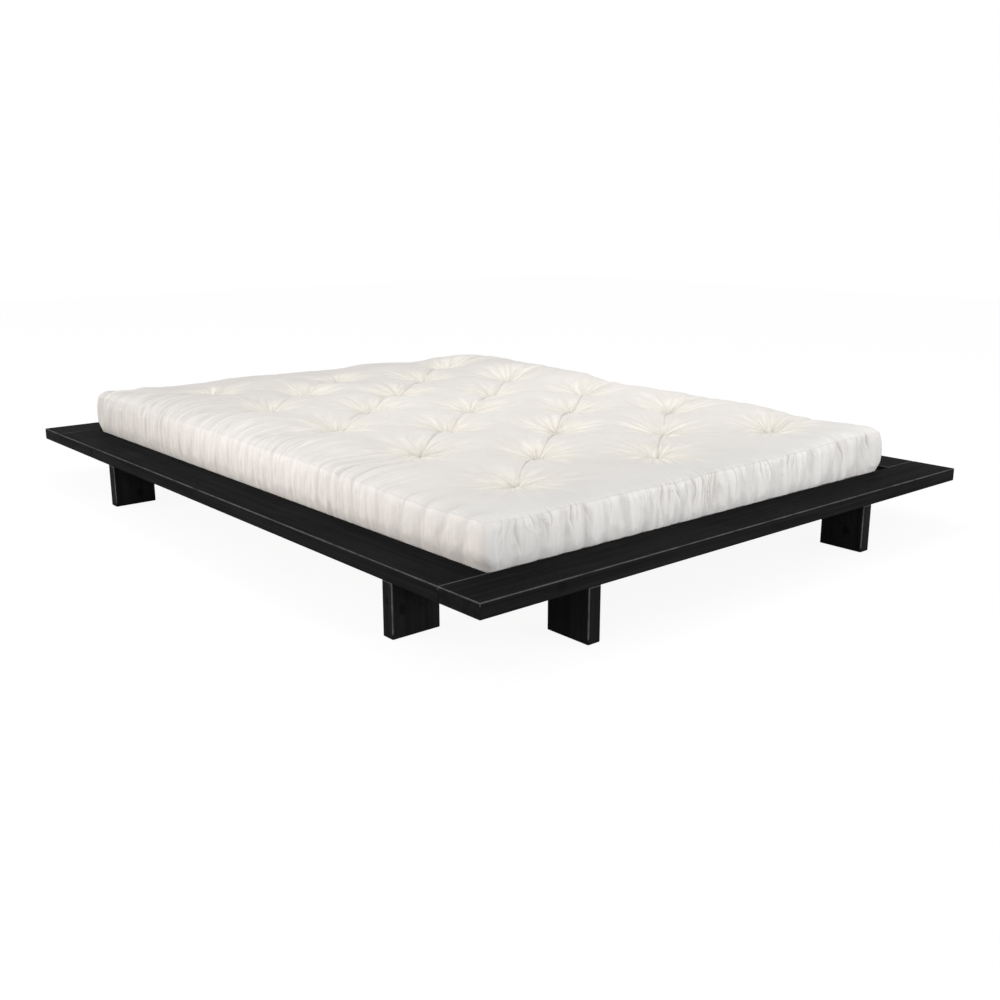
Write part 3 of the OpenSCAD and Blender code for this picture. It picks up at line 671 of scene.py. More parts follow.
class Plan:
    """Where points lie on the plan, how far from its edges, and how far from the nearest tuft.

    The lead is how much nearer the nearest tuft is than the next one.
    """

    def __init__(self, rows):
        self.rows = rows
        self.x, self.y, self.share = rows.T
        self.top = self.share > ON_TOP
        self.from_side = np.minimum(self.x, WIDTH - self.x)
        self.from_end = np.minimum(self.y, LENGTH - self.y)
        self.inside = np.minimum(self.from_side, self.from_end)
        self.on_end = self.from_end < self.from_side
        dx, dy = from_tufts(self.x, self.y)
        far = np.hypot(dx, dy)
        self.tuft = far.argmin(-1)
        row = np.arange(len(far))
        self.dx, self.dy, self.off = dx[row, self.tuft], dy[row, self.tuft], far[row, self.tuft]
        nearest, next_one = np.partition(far, 1, axis=-1)[:, :2].T
        self.lead = next_one - nearest


def seam_height(y):
    """The seam's height, which rises evenly from the foot to the head."""
    return SEAM_FOOT + (SEAM_HEAD - SEAM_FOOT) * y / LENGTH


def spread_out(x, y):
    """How far the loose right side has spread: nothing up to the last tufts, most at the head."""
    return smooth(x, TUFT_X[-1], WIDTH) * (SPREAD_FOOT + (SPREAD_HEAD - SPREAD_FOOT) * y / LENGTH)


def top_height(x, y):
    """The seam's height plus a crown, less the tufts' dips.

    The crown rises as a quarter ellipse over the first 95 mm from the edge. A dip falls off exponentially
    with the distance from its tuft, so that it is a cone in its middle.
    """
    inside = np.minimum(np.minimum(x, WIDTH - x), np.minimum(y, LENGTH - y))
    share = np.sqrt(1 - (1 - np.clip(inside / EDGE_REACH, 0, 1)) ** 2)
    pull = np.minimum(1, np.exp(-np.hypot(*from_tufts(x, y)) / TUFT_REACH).sum(-1))
    return seam_height(y) + share * (CROWN - TUFT_DEPTH * pull)


def even_lines(marks, step):
    """Places from mark to mark, in even steps close to the wanted one."""
    parts = [np.linspace(a, b, round((b - a) / step), endpoint=False) for a, b in zip(marks, marks[1:])]
    return np.append(np.concatenate(parts), marks[-1])


def round_plan(x, y):
    """Rounds the plan's corners: near a corner the square of the radius is laid on a quarter disc."""
    u = np.clip(1 - np.minimum(x, WIDTH - x) / CORNER_RADIUS, 0, None)
    v = np.clip(1 - np.minimum(y, LENGTH - y) / CORNER_RADIUS, 0, None)
    move_x = CORNER_RADIUS * u * (1 - np.sqrt(np.clip(1 - v * v / 2, 0, 1)))
    move_y = CORNER_RADIUS * v * (1 - np.sqrt(np.clip(1 - u * u / 2, 0, 1)))
    return x + np.where(x < WIDTH / 2, move_x, -move_x), y + np.where(y < LENGTH / 2, move_y, -move_y)


def mattress_net():
    """The cover before it is filled: a top grid, side rings under its rim, and rings in on the underside.

    Returns points, quads, and each point's plan place with its share. The underside's middle stays open
    until close_underside.
    """
    gx, gy = np.meshgrid(even_lines([0, *TUFT_X, WIDTH], CELL), even_lines([0, *TUFT_Y, LENGTH], CELL))
    number = np.arange(gx.size).reshape(gx.shape)
    cells = number[:-1, :-1], number[:-1, 1:], number[1:, 1:], number[1:, :-1]
    quads = [np.stack(cells, -1).reshape(-1, 4)]
    rx, ry = round_plan(gx, gy)
    plan = [np.column_stack([gx.ravel(), gy.ravel(), np.ones(gx.size)])]
    points = [np.column_stack([rx.ravel(), ry.ravel(), top_height(gx, gy).ravel()])]
    rim = np.concatenate([number[0, :-1], number[:-1, -1], number[-1, :0:-1], number[:0:-1, 0]])
    flat, rounded = plan[0][rim, :2], points[0][rim, :2]
    from_middle = flat / (WIDTH, LENGTH) - 0.5
    push = np.sign(from_middle) * (np.abs(from_middle) > AT_RIM)
    free = (push > 0) * FREE_SWELL
    side_rings = round(SEAM_HEAD / CELL)
    for share in [1 - k / side_rings for k in range(1, side_rings + 1)]:
        out = from_rows(share, SIDE_PROFILE) + free * math.sin(math.pi * share)
        points.append(np.column_stack([rounded + push * out, share * seam_height(flat[:, 1])]))
        plan.append(np.column_stack([flat, np.full(len(rim), share)]))
    edge, edge_plan, middle = points[-1], plan[-1], np.array([WIDTH / 2, LENGTH / 2, 0.0])
    for share in UNDER_RINGS:
        points.append(middle + (edge - middle) * share)
        plan.append(middle + (edge_plan - middle) * share)
    rings = [rim] + [gx.size + k * len(rim) + np.arange(len(rim)) for k in range(len(points) - 1)]
    quads += [ring_quads(below, above) for above, below in zip(rings, rings[1:])]
    return np.concatenate(points), np.concatenate(quads), np.concatenate(plan)


def close_underside(points, quads):
    """Closes the flat underside: the open edge's points, in order of angle, are joined to its middle."""
    edges = np.sort(np.concatenate([quads[:, [k, (k + 1) % 4]] for k in range(4)]), axis=1)
    pairs, uses = np.unique(edges, axis=0, return_counts=True)
    loop = np.unique(pairs[uses == 1])
    middle = points[loop].mean(axis=0)
    order = loop[np.argsort(np.arctan2(points[loop, 1] - middle[1], points[loop, 0] - middle[0]))]
    fan = np.stack([np.roll(order, -1), order, np.full(len(order), len(points))], -1)
    return middle, fan


# Filling of the cover

HOLD_SIDE, HOLD_SEAM, LOOSE_LEFT = 0.45, 0.85, 0.55
HOLD_UNDER = 0.020
FILL_FRAMES, FILL_LIMIT = 30, 0.045
FILLING = {
    "quality": 6, "mass": 0.3, "tension_stiffness": 15, "compression_stiffness": 15, "shear_stiffness": 5,
    "bending_stiffness": 0.5, "use_pressure": True, "uniform_pressure_force": 4.0, "shrink_min": -0.03,
    "shrink_max": -0.03, "vertex_group_mass": "hold",
}


def hold_weights(points, at):
    """How firmly the cloth is held: fully at the tufts, the corners and the underside, well at the seam, less
    where the left side is loose, and a little at the sides."""
    on_seam = at.top & (at.inside < NO_GAP)
    loose_left = np.clip((at.y - 0.35) / 0.5, 0, 1) * (at.x < 0.01)
    hold = np.where(at.top, 0.0, HOLD_SIDE)
    hold[on_seam] = HOLD_SEAM
    hold -= np.where(on_seam, LOOSE_LEFT * loose_left, 0)
    hold[at.top & (at.off < 0.3 * CELL)] = 1.0
    hold[np.hypot(at.from_side, at.from_end) < 0.3 * CELL] = 1.0
    hold[points[:, 2] < HOLD_UNDER] = 1.0
    return hold


def fill_cover(points, faces, hold):
    """Blows the cover up from inside with Cloth, held by weights, and returns where its points end."""
    mesh = bpy.data.meshes.new("cover net")
    mesh.from_pydata(points.tolist(), [], faces)
    net = new_object("cover net", mesh)
    group = net.vertex_groups.new(name="hold")
    for weight in np.unique(hold[hold > 0].round(2)):
        group.add(np.nonzero(hold.round(2) == weight)[0].tolist(), float(weight), "REPLACE")
    cloth = net.modifiers.new("Cloth", "CLOTH")
    for name, value in FILLING.items():
        setattr(cloth.settings, name, value)
    cloth.settings.effector_weights.gravity = 0
    cloth.collision_settings.use_collision = False
    cloth.point_cache.frame_start, cloth.point_cache.frame_end = 1, FILL_FRAMES
    for step in range(1, FILL_FRAMES + 1):
        bpy.context.scene.frame_set(step)
    filled = net.evaluated_get(bpy.context.evaluated_depsgraph_get()).data.vertices
    settled = read_rows(filled, "co", len(points), 3, float)
    bpy.context.scene.frame_set(1)
    bpy.data.objects.remove(net)
    bpy.data.meshes.remove(mesh)
    return settled


def seam_sharpness(at):
    """How sharp the cover stays: along the seam, but less on the left side, and down the corners."""
    on_seam = at.top & (at.inside < NO_GAP)
    loose = np.clip((at.y - 0.3) / 0.4, 0, 1) * (at.x < NO_GAP) * (at.from_end > NO_GAP)
    corner = (at.from_side + at.from_end < NO_GAP) & (at.share > 0.2)
    return np.where(corner, 0.75, on_seam * (0.55 - 0.55 * loose))


def subdivide(points, faces, at):
    """Rounds of subdivision, read back as arrays with the plan places carried along."""
    mesh = bpy.data.meshes.new("cover cage")
    mesh.from_pydata(points.tolist(), [], faces)
    places = mesh.attributes.new("plan", "FLOAT_VECTOR", "POINT")
    places.data.foreach_set("vector", at.rows.astype(np.float32).ravel())
    ends = read_rows(mesh.edges, "vertices", len(mesh.edges), 2, np.int32)
    creases = mesh.attributes.new("crease_edge", "FLOAT", "EDGE")
    creases.data.foreach_set("value", seam_sharpness(at)[ends].min(axis=1).astype(np.float32))
    cage = new_object("cover cage", mesh)
    rounds = cage.modifiers.new("rounds", "SUBSURF")
    rounds.levels = rounds.render_levels = ROUNDS
    fine = cage.evaluated_get(bpy.context.evaluated_depsgraph_get()).to_mesh()
    co = read_rows(fine.vertices, "co", len(fine.vertices), 3, np.float32)
    where = read_rows(fine.attributes["plan"].data, "vector", len(fine.vertices), 3, np.float32)
    corners = read_rows(fine.loops, "vertex_index", len(fine.polygons), 4, np.int32)
    bpy.data.objects.remove(cage)
    bpy.data.meshes.remove(mesh)
    return co.astype(float), corners, Plan(where.astype(float))


# Folds of the cover

# For each edge: the axis along it, whether it is the far one of its pair, its folds' size, their reach over
# the top, how much of them crosses the seam, their lengths, the share of fine creases, and how much of the
# folds is there near the edge's first end
FINE, BROAD = (0.014, 0.021, 0.031, 0.047, 0.083), (0.019, 0.031, 0.046, 0.068, 0.110)
EDGES = [(Y, False, 5.2 * MM, 0.190, 1.0, FINE, 0.9, 0.5), (Y, True, 2.0 * MM, 0.040, 0.3, BROAD, 0.6, 0.5),
         (X, False, 5.4 * MM, 0.028, 0.45, BROAD, 0.5, 1.0), (X, True, 2.0 * MM, 0.050, 0.3, BROAD, 0.6, 0.5)]
# Each side that has tucks: the axis along it, whether its edge is the far one, and the gap between tucks
TUCKED = [(X, False, 0.042), (X, True, 0.05), (Y, True, 0.05)]
# Sharp tucks that stand close together in the foot side: the place along it and the lean on the way down
CLUSTER = [(0.652, 0.012), (0.676, 0.006), (0.693, -0.012), (0.716, -0.03)]
TUCK_OVER, CLUSTER_OVER = 0.009, 0.022
FOLD_SHOWS, CREASE_WIDTH = 0.012, 0.0065
# The mean height of a sine's arches, which keeps folds from swelling the cover
ARCH_MEAN = 0.64
TUFT_FOLDS, TUFT_FOLD_PEAK = 6.0 * MM, 0.025
TOP_CREASES, SIDE_CREASES, SEAM_GROOVE = 8 * MM, 6 * MM, 1.2 * MM
SUNK, SUNK_REACH = 15 * MM, 0.045
GROOVE_WIDTH, SEAM_LINE, CORNER_LINE = 0.005, 0.0030, 0.0035


def point_normals(points, quads):
    """Each point's normal: the cross products of its faces' diagonals, added up and made unit length."""
    across = np.cross(points[quads[:, 2]] - points[quads[:, 0]], points[quads[:, 3]] - points[quads[:, 1]])
    total = [np.bincount(quads.ravel(), np.repeat(across[:, axis], 4), len(points)) for axis in (X, Y, Z)]
    total = np.stack(total, -1)
    return total / np.maximum(np.linalg.norm(total, axis=1), 1e-12)[:, None]


def ripple(along, lengths, random, other, lean, tight):
    """Gathers along a line: for each wavelength |sin| arches with sharp valleys, each with its own phase,
    its own slow swell along the line, and a lean as it crosses it. Longer ones stand higher. Where the lines
    lie tight, an arch has its full height while it is over 14 mm long, and is gone under 4 mm."""
    total = np.zeros_like(along)
    for length in lengths:
        phase, swell = random.uniform(0, math.pi), random.uniform(0, 2 * math.pi, 3)
        tilt = random.uniform(-lean, lean)
        slow = sum(np.sin(along / (length * factor) + s) for factor, s in zip((1.7, 2.9, 4.6), swell)) / 3
        wander = 0.9 * np.sin(along / (length * 2.3) + swell[0] * 3)
        arch = np.abs(np.sin(math.pi * along / length + phase + tilt * other + wander)) - ARCH_MEAN
        room = np.clip(length / tight / 0.010 - 0.4, 0, 1)
        total += (length / 0.045) ** 0.8 * arch * np.clip(0.35 + 1.3 * slow, 0, 1.4) * room
    return total


def edge_lines(along, inward, place, period, row):
    """The lines that folds follow from an edge in to its first row of tufts.

    They are the flow into an endless row of sinks, a period apart and a row's distance in: square to the
    edge at first, and straight into a tuft at the end. Returns the place along the edge where each point's
    line starts, and how many times tighter than at the edge the lines lie there.
    """
    a = math.pi * (inward - row) / period
    b = math.pi * ((along - place) / period - np.round((along - place) / period))
    turn = np.arctan2(np.cosh(a) * np.sin(b), np.abs(np.sinh(a)) * np.cos(b))
    tight = np.sqrt((np.sinh(a) ** 2 + np.cos(b) ** 2) / (np.sinh(a) ** 2 + np.sin(b) ** 2 + 1e-5))
    return along + (turn - b) * period / math.pi, tight


def edge_gathers(at, random):
    """Folds that climb each side, pass over the seam and run in towards the tufts.

    Returns their height, and for the finest ones each point's line, its distance in and their strength.
    """
    share = at.share
    total, flow, second = np.zeros_like(share), np.zeros((len(share), 3)), np.zeros_like(share)
    for axis, far, size, reach, crossing, lengths, fine, first in EDGES:
        along, inward = (at.x, at.y) if axis == X else (at.y, at.x)
        tufts, rows = (TUFT_X, TUFT_Y) if axis == X else (TUFT_Y, TUFT_X)
        whole, length = (LENGTH, WIDTH) if axis == X else (WIDTH, LENGTH)
        inward, row = (whole - inward, whole - rows[-1]) if far else (inward, rows[0])
        own = at.top | (inward < NO_GAP)
        level = inward - (1 - share) * SEAM_FOOT
        line, tight = edge_lines(along, level, tufts[0], 2 * (tufts[1] - tufts[0]), row)
        near_end = np.clip(np.minimum(along, length - along) / 0.03, 0.15, 1)
        over = crossing * bell(inward, reach * (0.3 + 0.7 * smooth(along, 0.2, 0.65)))
        down = crossing + (1 - crossing) * np.clip((1 - share) / 0.15, 0, 1)
        here = np.where(at.top, over, down * np.where(share > 0.5, 1.0, 0.5 + share)) * own * near_end
        here *= np.clip(share / 0.12, 0, 1) * (first + (1 - first) * smooth(along, 0.25, 0.7))
        total += size * here * ripple(line, lengths, random, share, 1.6, tight)
        here = here * fine
        better = here > flow[:, 2]
        second = np.where(better, flow[:, 2], np.maximum(second, here))
        flow[better] = np.column_stack([line + 3 * axis + 7 * far, level, here])[better]
    flow[:, 2] *= np.clip((flow[:, 2] - second) / 0.25, 0, 1)
    return total, flow


def stronger_fold(off, strength, new_off, new_strength):
    """Of two folds the one that shows more at each point, where both fade over the same distance."""
    shows = new_strength * np.exp(-np.abs(new_off) / FOLD_SHOWS)
    better = shows > strength * np.exp(-np.abs(off) / FOLD_SHOWS)
    return np.where(better, new_off, off), np.where(better, new_strength, strength)


def side_tucks(random, length, gap):
    """Tucks along one side, at uneven gaps: each one's place, strength, lean, its share of the side's height,
    and how far it runs on over the top."""
    places = np.cumsum(random.uniform(0.4 * gap, 1.6 * gap, int(1.2 * length / gap))) + 0.01
    return [(place, random.uniform(0.2, 0.75), random.uniform(-0.015, 0.03), random.uniform(0.35, 0.95),
             TUCK_OVER) for place in places[places < length - 0.03]]


def fold_lines(at, seed=11):
    """The nearest sharp fold to each point: the signed distance across it, and its strength.

    On the sides they are tucks that start at the seam and fade on their way down, and on the top the
    creases between diagonal neighbours.
    """
    random = np.random.default_rng(seed)
    crease_off, crease = diagonal_creases(at.x, at.y)
    nearest, strength = np.where(at.top, crease_off, 1.0), crease * at.top
    down = 1 - at.share
    for axis, far, gap in TUCKED:
        along, inward, length = (at.x, at.y, WIDTH) if axis == X else (at.y, at.x, LENGTH)
        if far:
            inward = (LENGTH if axis == X else WIDTH) - inward
        tucks = side_tucks(random, length, gap)
        if not far:
            tucks += [(place, 0.6, lean, 0.95, CLUSTER_OVER) for place, lean in CLUSTER]
        for place, size, lean, reach, over in tucks:
            off = along - place - lean * down - 0.006 * np.sin(7 * down + 40 * place)
            on_side = smooth(down, reach, 0.35 * reach) * (inward < NO_GAP)
            amount = size * np.where(at.top, np.exp(-inward / over), on_side)
            nearest, strength = stronger_fold(nearest, strength, off, amount)
    return nearest, strength


def tuft_folds(at, seed=5):
    """Folds that run out from each tuft: arches over the angle with sharp valleys, strongest 25 mm out,
    each tuft with its own counts, phases and reach."""
    random = np.random.default_rng(seed)
    angle = np.arctan2(at.dy, at.dx)
    counts = random.integers(4, 8, (len(TUFTS), 3)) + np.array([0, 5, 11])
    phases = random.uniform(0, 2 * math.pi, (len(TUFTS), 3))
    reach = random.uniform(0.08, 0.16, (len(TUFTS), 3))
    total = np.zeros_like(angle)
    near = at.off / TUFT_FOLD_PEAK
    for k, size in enumerate((1.0, 0.8, 0.5)):
        n, phase, far = counts[at.tuft, k], phases[at.tuft, k], reach[at.tuft, k]
        arch = np.abs(np.sin(n * angle / 2 + phase)) - ARCH_MEAN
        body = np.where(near < 1, near * np.exp(1 - near), bell(at.off - TUFT_FOLD_PEAK, far))
        total += size * arch * body * (0.65 + 0.35 * np.sin(angle * (k + 1) + phase * 2))
    return total * np.clip(at.lead / 0.05, 0, 1)


def diagonal_creases(x, y, seed=8):
    """Lines between diagonal neighbours, slightly bowed, deeper near their ends, some stronger than others.

    Returns the signed distance across the nearest line, and that line's strength.
    """
    random = np.random.default_rng(seed)
    nearest, chosen = np.ones_like(x), np.zeros_like(x)
    index = {(i, j): k for k, (i, j) in enumerate(zip(TUFT_I, TUFT_J))}
    for (i, j), k in sorted(index.items()):
        for side in (1, -1):
            other = index.get((i + side, j + 1))
            strength = random.uniform(0.7, 1.0) * (1.0 if side > 0 else 0.75)
            bow = random.uniform(-0.012, 0.012)
            if other is None:
                continue
            start, end = TUFTS[k], TUFTS[other]
            length = np.hypot(*(end - start))
            ux, uy = (end - start) / length
            t = ((x - start[0]) * ux + (y - start[1]) * uy) / length
            off = (x - start[0]) * -uy + (y - start[1]) * ux - bow * np.sin(math.pi * np.clip(t, 0, 1))
            between = np.clip(t * (1 - t) * 4, 0, 1)
            if side > 0:
                ends = 0.35 + 0.65 * np.clip(t, 0, 1) ** 1.5
            else:
                ends = 0.15 + 0.85 * np.abs(2 * t - 1) ** 1.5
            amount = strength * ends * np.sqrt(between) * ((t > 0) & (t < 1))
            nearest, chosen = stronger_fold(nearest, chosen, off, amount)
    return nearest, chosen


def left_fade(at, start, loss):
    """1, but along the left side less by loss, over 350 mm from start on, where the seam hardly shows."""
    return np.where(~at.on_end & (at.x < WIDTH / 2), 1 - loss * np.clip((at.y - start) / 0.35, 0, 1), 1.0)


def lumpy_filling(at, random):
    """Four slow waves across the top, in their own directions, that die out at its edges."""
    fx, fy = random.uniform(12, 34, 4) * random.choice([-1, 1], 4), random.uniform(12, 34, 4)
    waves = zip((1.6, 1.2, 0.9, 0.8), fx, fy, random.uniform(0, 6.28, 4))
    lumps = sum(size * np.sin(at.x * a + at.y * b + phase) for size, a, b, phase in waves) * MM
    return lumps * np.clip(at.inside / 0.06, 0, 1) * at.top


def dress_cover(points, quads, at):
    """Adds what sewing does to a filled cover, along its normals: folds round the tufts, the sunk near tufts,
    creases, side gathers, the seam's groove, lumpy filling and the grooves down the corners."""
    random = np.random.default_rng(3)
    across, strength = fold_lines(at)
    folds, flow = edge_gathers(at, random)
    depth = TUFT_FOLDS * tuft_folds(at) * np.clip(at.inside / 0.1, 0.25, 1) * at.top
    sunk = smooth(at.y, 0.66, 0.42) * smooth(at.x, 1.2, 0.9) * np.exp(-at.off / SUNK_REACH)
    depth -= SUNK * sunk * at.top
    depth -= np.where(at.top, TOP_CREASES, SIDE_CREASES) * strength * np.exp(-np.abs(across) / CREASE_WIDTH)
    depth += folds
    rim = bell((1 - at.share) * SIDE_HEIGHT, GROOVE_WIDTH) * bell(at.inside, GROOVE_WIDTH) * (at.share > 0.5)
    depth -= SEAM_GROOVE * rim * left_fade(at, 0.25, 0.9)
    depth += lumpy_filling(at, random)
    on_side = (at.share > 0.001) & (at.share <= ON_TOP)
    depth -= SEAM_GROOVE * bell(np.hypot(at.from_side, at.from_end), GROOVE_WIDTH) * on_side
    # Painted light on the side gathers: lighter on their ridges, darker in their valleys
    painted_fold_light = 1 + np.clip(folds / (4 * MM), -1, 1) * 0.06
    dressed = points + point_normals(points, quads) * depth[:, None]
    return dressed, flow, np.column_stack([across, strength, painted_fold_light])


# Where the cover lies, and its tones

# Above the first height the top is pressed down more and more, and it never gets above both together
TOP_SOFT, TOP_ROOM = 0.166, 0.0145
# How far each edge of the top stands above or below an even line: (place along it, height in mm)
FOOT_WAVE = [(0, 7), (0.03, 6), (0.09, -4), (0.14, -4), (0.19, -1), (0.41, 0), (0.51, -2), (0.58, -5),
             (0.68, 3), (0.78, 1), (1.07, 5), (1.22, 9), (1.36, 0), (1.4, 1)]
LEFT_WAVE = [(0, 7), (0.06, 3), (0.2, -6), (0.31, -5), (0.6, 0), (2, 0)]
HEAD_WAVE = [(0, -3), (0.04, -2), (0.08, -9), (0.13, -3), (0.2, -7), (0.28, -10), (0.36, -8), (0.45, -1),
             (0.67, -4), (0.84, -8), (0.93, -7), (1.02, 1), (1.1, -4), (1.19, -14), (1.26, -30), (1.35, -20),
             (1.4, -6)]
RIGHT_WAVE = [(0, 7), (0.1, 2), (0.16, -4), (0.24, -2), (0.31, 6), (0.38, 8), (0.46, 4), (0.6, 9), (0.7, 6),
              (0.85, 0), (0.99, 6), (1.08, 5), (1.15, 18), (1.27, 18), (1.4, 22), (1.5, 25), (1.62, 29),
              (1.75, 20), (1.84, 7), (2, 0)]
# Painted light and shade along the foot side and the left side: (place along it, share of the full tone)
FOOT_PAINTED_SHADE = [(0, 0.90), (0.12, 0.93), (0.4, 1.0), (1.1, 0.98), (1.3, 0.92), (1.4, 0.88)]
LEFT_PAINTED_SHADE = [(0, 0.96), (0.3, 1.01), (0.8, 1.08), (1.2, 1.03), (1.6, 0.88), (2, 0.80)]


def puff(x, y):
    """How much of the filling's rise is kept: less at both ends, more on the right towards the head."""
    head, foot = smooth(y, LENGTH - 0.30, LENGTH - 0.14), smooth(y, 0.55, 0.10)
    right, far = smooth(x, TUFT_X[-1] - 0.05, TUFT_X[-1] + 0.08), smooth(y, 0.95, 1.2)
    return (0.50 + right * (0.40 + 0.25 * far)) * (1 - 0.9 * head * (1 - right * far)) * (1 - 0.4 * foot)


def settle(points, at):
    """Gives the edges their waves, flattens the near puffs, and holds the highest places in the room."""
    x, y, share = at.x, at.y, at.share
    near_head = smooth(y, LENGTH - 0.25, LENGTH - 0.1)
    crown = share * smooth(LENGTH - y, 0.0, 0.05) * smooth(x, 1.2, 1.0) * near_head
    head = from_rows(x, HEAD_WAVE) * smooth(y, LENGTH - 0.28, LENGTH - 0.05)
    right = from_rows(y, RIGHT_WAVE) * smooth(x, TUFT_X[-1], WIDTH - 0.02)
    foot = from_rows(x, FOOT_WAVE) * smooth(y, 0.10, 0.0)
    left = from_rows(y, LEFT_WAVE) * smooth(x, 0.10, 0.0) * smooth(y, 0.0, 0.04)
    z = points[:, 2] - 0.006 * crown + MM * (head + right + foot + left) * share ** 2
    flat = 0.6 * smooth(y, 0.75, 0.2) * smooth(x, 1.3, 1.0)
    flat += 0.25 * smooth(x, 0.4, 0.15) * smooth(y, 1.2, 0.6)
    z -= np.clip(z - seam_height(y), 0, None) * np.clip(flat, 0, 0.65) * at.top
    high = np.clip(z - TOP_SOFT, 0, None)
    z = np.where(high > 0, TOP_SOFT + TOP_ROOM * np.tanh(high / TOP_ROOM), z)
    return np.column_stack([points[:, :2], z])


def keep_to_room(points, at):
    """Keeps the cover out of the rails beside it, off the slats, and within reach over the rails' edges."""
    x, y, z = points.T
    margin = 0.0065 * np.clip((z - 0.016) / 0.006, 0, 1)
    x = np.clip(x, -margin, WIDTH + margin + 1.6 * FREE_SWELL) + spread_out(at.x, at.y)
    lean = 0.004 * bell(at.y, 0.04) + 0.007 * bell(at.y, 0.25)
    x -= lean * smooth(at.share, 0.15, 0.5) * bell(at.x, 0.04)
    y = np.clip(y, -margin, LENGTH + margin + 1.2 * FREE_SWELL)
    return np.column_stack([x, y, np.clip(z, 0.0, TOP_SOFT + 1.1 * TOP_ROOM)])


def cover_map(at):
    """The cloth laid flat: the plan, with each side folded out."""
    out = (1 - at.share) * SIDE_HEIGHT
    return np.column_stack([np.where(at.on_end, at.x, at.x + out * np.sign(at.x - WIDTH / 2)),
                            np.where(at.on_end, at.y + out * np.sign(at.y - LENGTH / 2), at.y)])


def cover_seam(at):
    """The seam's dark line, partly its thread and partly painted shade: 3 mm to each side of the seam, and a
    weaker one down each corner.
    """
    from_seam = (1 - at.share) * SIDE_HEIGHT + at.inside
    seam = np.clip(1 - from_seam / SEAM_LINE, 0, 1) * left_fade(at, 0.3, 0.85)
    corner = np.clip(1 - (at.from_side + at.from_end) / CORNER_LINE, 0, 1) * (at.share > 0.01)
    return np.maximum(seam, 0.7 * corner)


def cover_painted_shade(at):
    """Painted light and shade on the cloth. The top is darker towards the head and by the foot, and lighter
    by the left edge and on the right. The sides have theirs from rows."""
    x, y = at.x, at.y
    on_top = 0.945 - 0.09 * smooth(y, 1.0, 1.6) + 0.035 * smooth(x, 0.25, 0.05)
    on_top -= 0.035 * smooth(y, 0.4, 0.15) * smooth(x, 1.1, 0.8)
    on_top += 0.05 * smooth(x, 1.1, 1.35) * smooth(y, 1.2, 0.8)
    return np.where(at.top, on_top, np.where(at.on_end, from_rows(x, FOOT_PAINTED_SHADE), from_rows(y, LEFT_PAINTED_SHADE)))


def cover_cream_and_painted_warmth(at):
    """How warm the cream is, partly the cloth's own cream and partly painted warm light: on the left side
    most, on the top less, and on the other sides least.
    """
    on_side = np.where(at.x < NO_GAP, 0.9 - 0.3 * at.share, 0.12)
    return np.where(at.top, 0.42 - 0.3 * smooth(at.y, 0.25, 0.0), on_side)


def make_mattress():
    """The tufted mattress: its net is filled by Cloth and subdivided, then dressed with folds and seams.

    Returns the cover's points and their plan.
    """
    points, quads, plan = mattress_net()
    faces, at = quads.tolist(), Plan(plan)
    moved = fill_cover(points, faces, hold_weights(points, at)) - points
    moved[:, 2] *= np.where(at.top, puff(at.x, at.y), 1.0)
    points = points + np.clip(moved, -FILL_LIMIT, FILL_LIMIT)
    fine, corners, at = subdivide(settle(points, at), faces, at)
    dressed, flow, lines = dress_cover(fine, corners, at)
    dressed = keep_to_room(dressed, at)
    middle, fan = close_underside(dressed, corners)
    dressed, at = np.vstack([dressed, middle]), Plan(np.vstack([at.rows, [WIDTH / 2, LENGTH / 2, 0]]))
    flow, lines = np.vstack([flow, [0, 0, 0]]), np.vstack([lines, [1, 0, 1]])
    fanned = smooth(at.off, 0.22, 0.04) * smooth(at.off, 0.0, 0.012) * smooth(at.lead, 0.0, 0.04) * at.top
    attributes = {
        # Where the dips' painted light goes
        "dip": bell(at.off, 0.11) * at.top,
        "seam": cover_seam(at),
        # Partly the cloth's own cream, partly painted warm light
        "warm": cover_cream_and_painted_warmth(at),
        # Painted light and shade, multiplied into the cloth's colour
        "shade": cover_painted_shade(at),
        "painted_fold_light": lines[:, 2],
        "flow": flow,
        "fold": lines,
        "tuft": np.column_stack([at.dx, at.dy, fanned]),
    }
    faces = corners.tolist() + fan.tolist()
    piece = make_piece("mattress_cloth", dressed + np.array(CORNER), faces, COTTON, attributes, cover_map(at))
    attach(piece, "mattress")
    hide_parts("mattress_cover")
    return dressed, at


# The stitches that tie each tuft, and the foam inside

STITCH_RADIUS, STITCH_RISE, STITCH_SUNK = THREAD_D / 2 * 0.62, 0.0034, 0.0022
FOAM_RADIUS = 0.012


def tube(path, radius, around=8):
    """A round tube along a path in the XZ plane: circles square to the path, closed by a cap at each end."""
    tangent = np.gradient(path, axis=0)
    tangent /= np.linalg.norm(tangent, axis=1)[:, None]
    side = np.array([0.0, 1.0, 0.0])
    up = np.cross(tangent, side)
    turn = np.arange(around) * 2 * math.pi / around
    circle = np.cos(turn)[None, :, None] * side + np.sin(turn)[None, :, None] * up[:, None, :]
    points = (path[:, None, :] + radius * circle).reshape(-1, 3)
    rings = np.arange(len(points)).reshape(len(path), around)
    faces = np.concatenate([ring_quads(b, a) for a, b in zip(rings, rings[1:])]).tolist()
    faces += [rings[0].tolist(), rings[-1][::-1].tolist()]
    length = np.concatenate([[0], np.cumsum(np.linalg.norm(np.diff(path, axis=0), axis=1))])
    uv = np.column_stack([np.repeat(length, around), np.tile(np.arange(around) / around, len(path))])
    return points, faces, uv


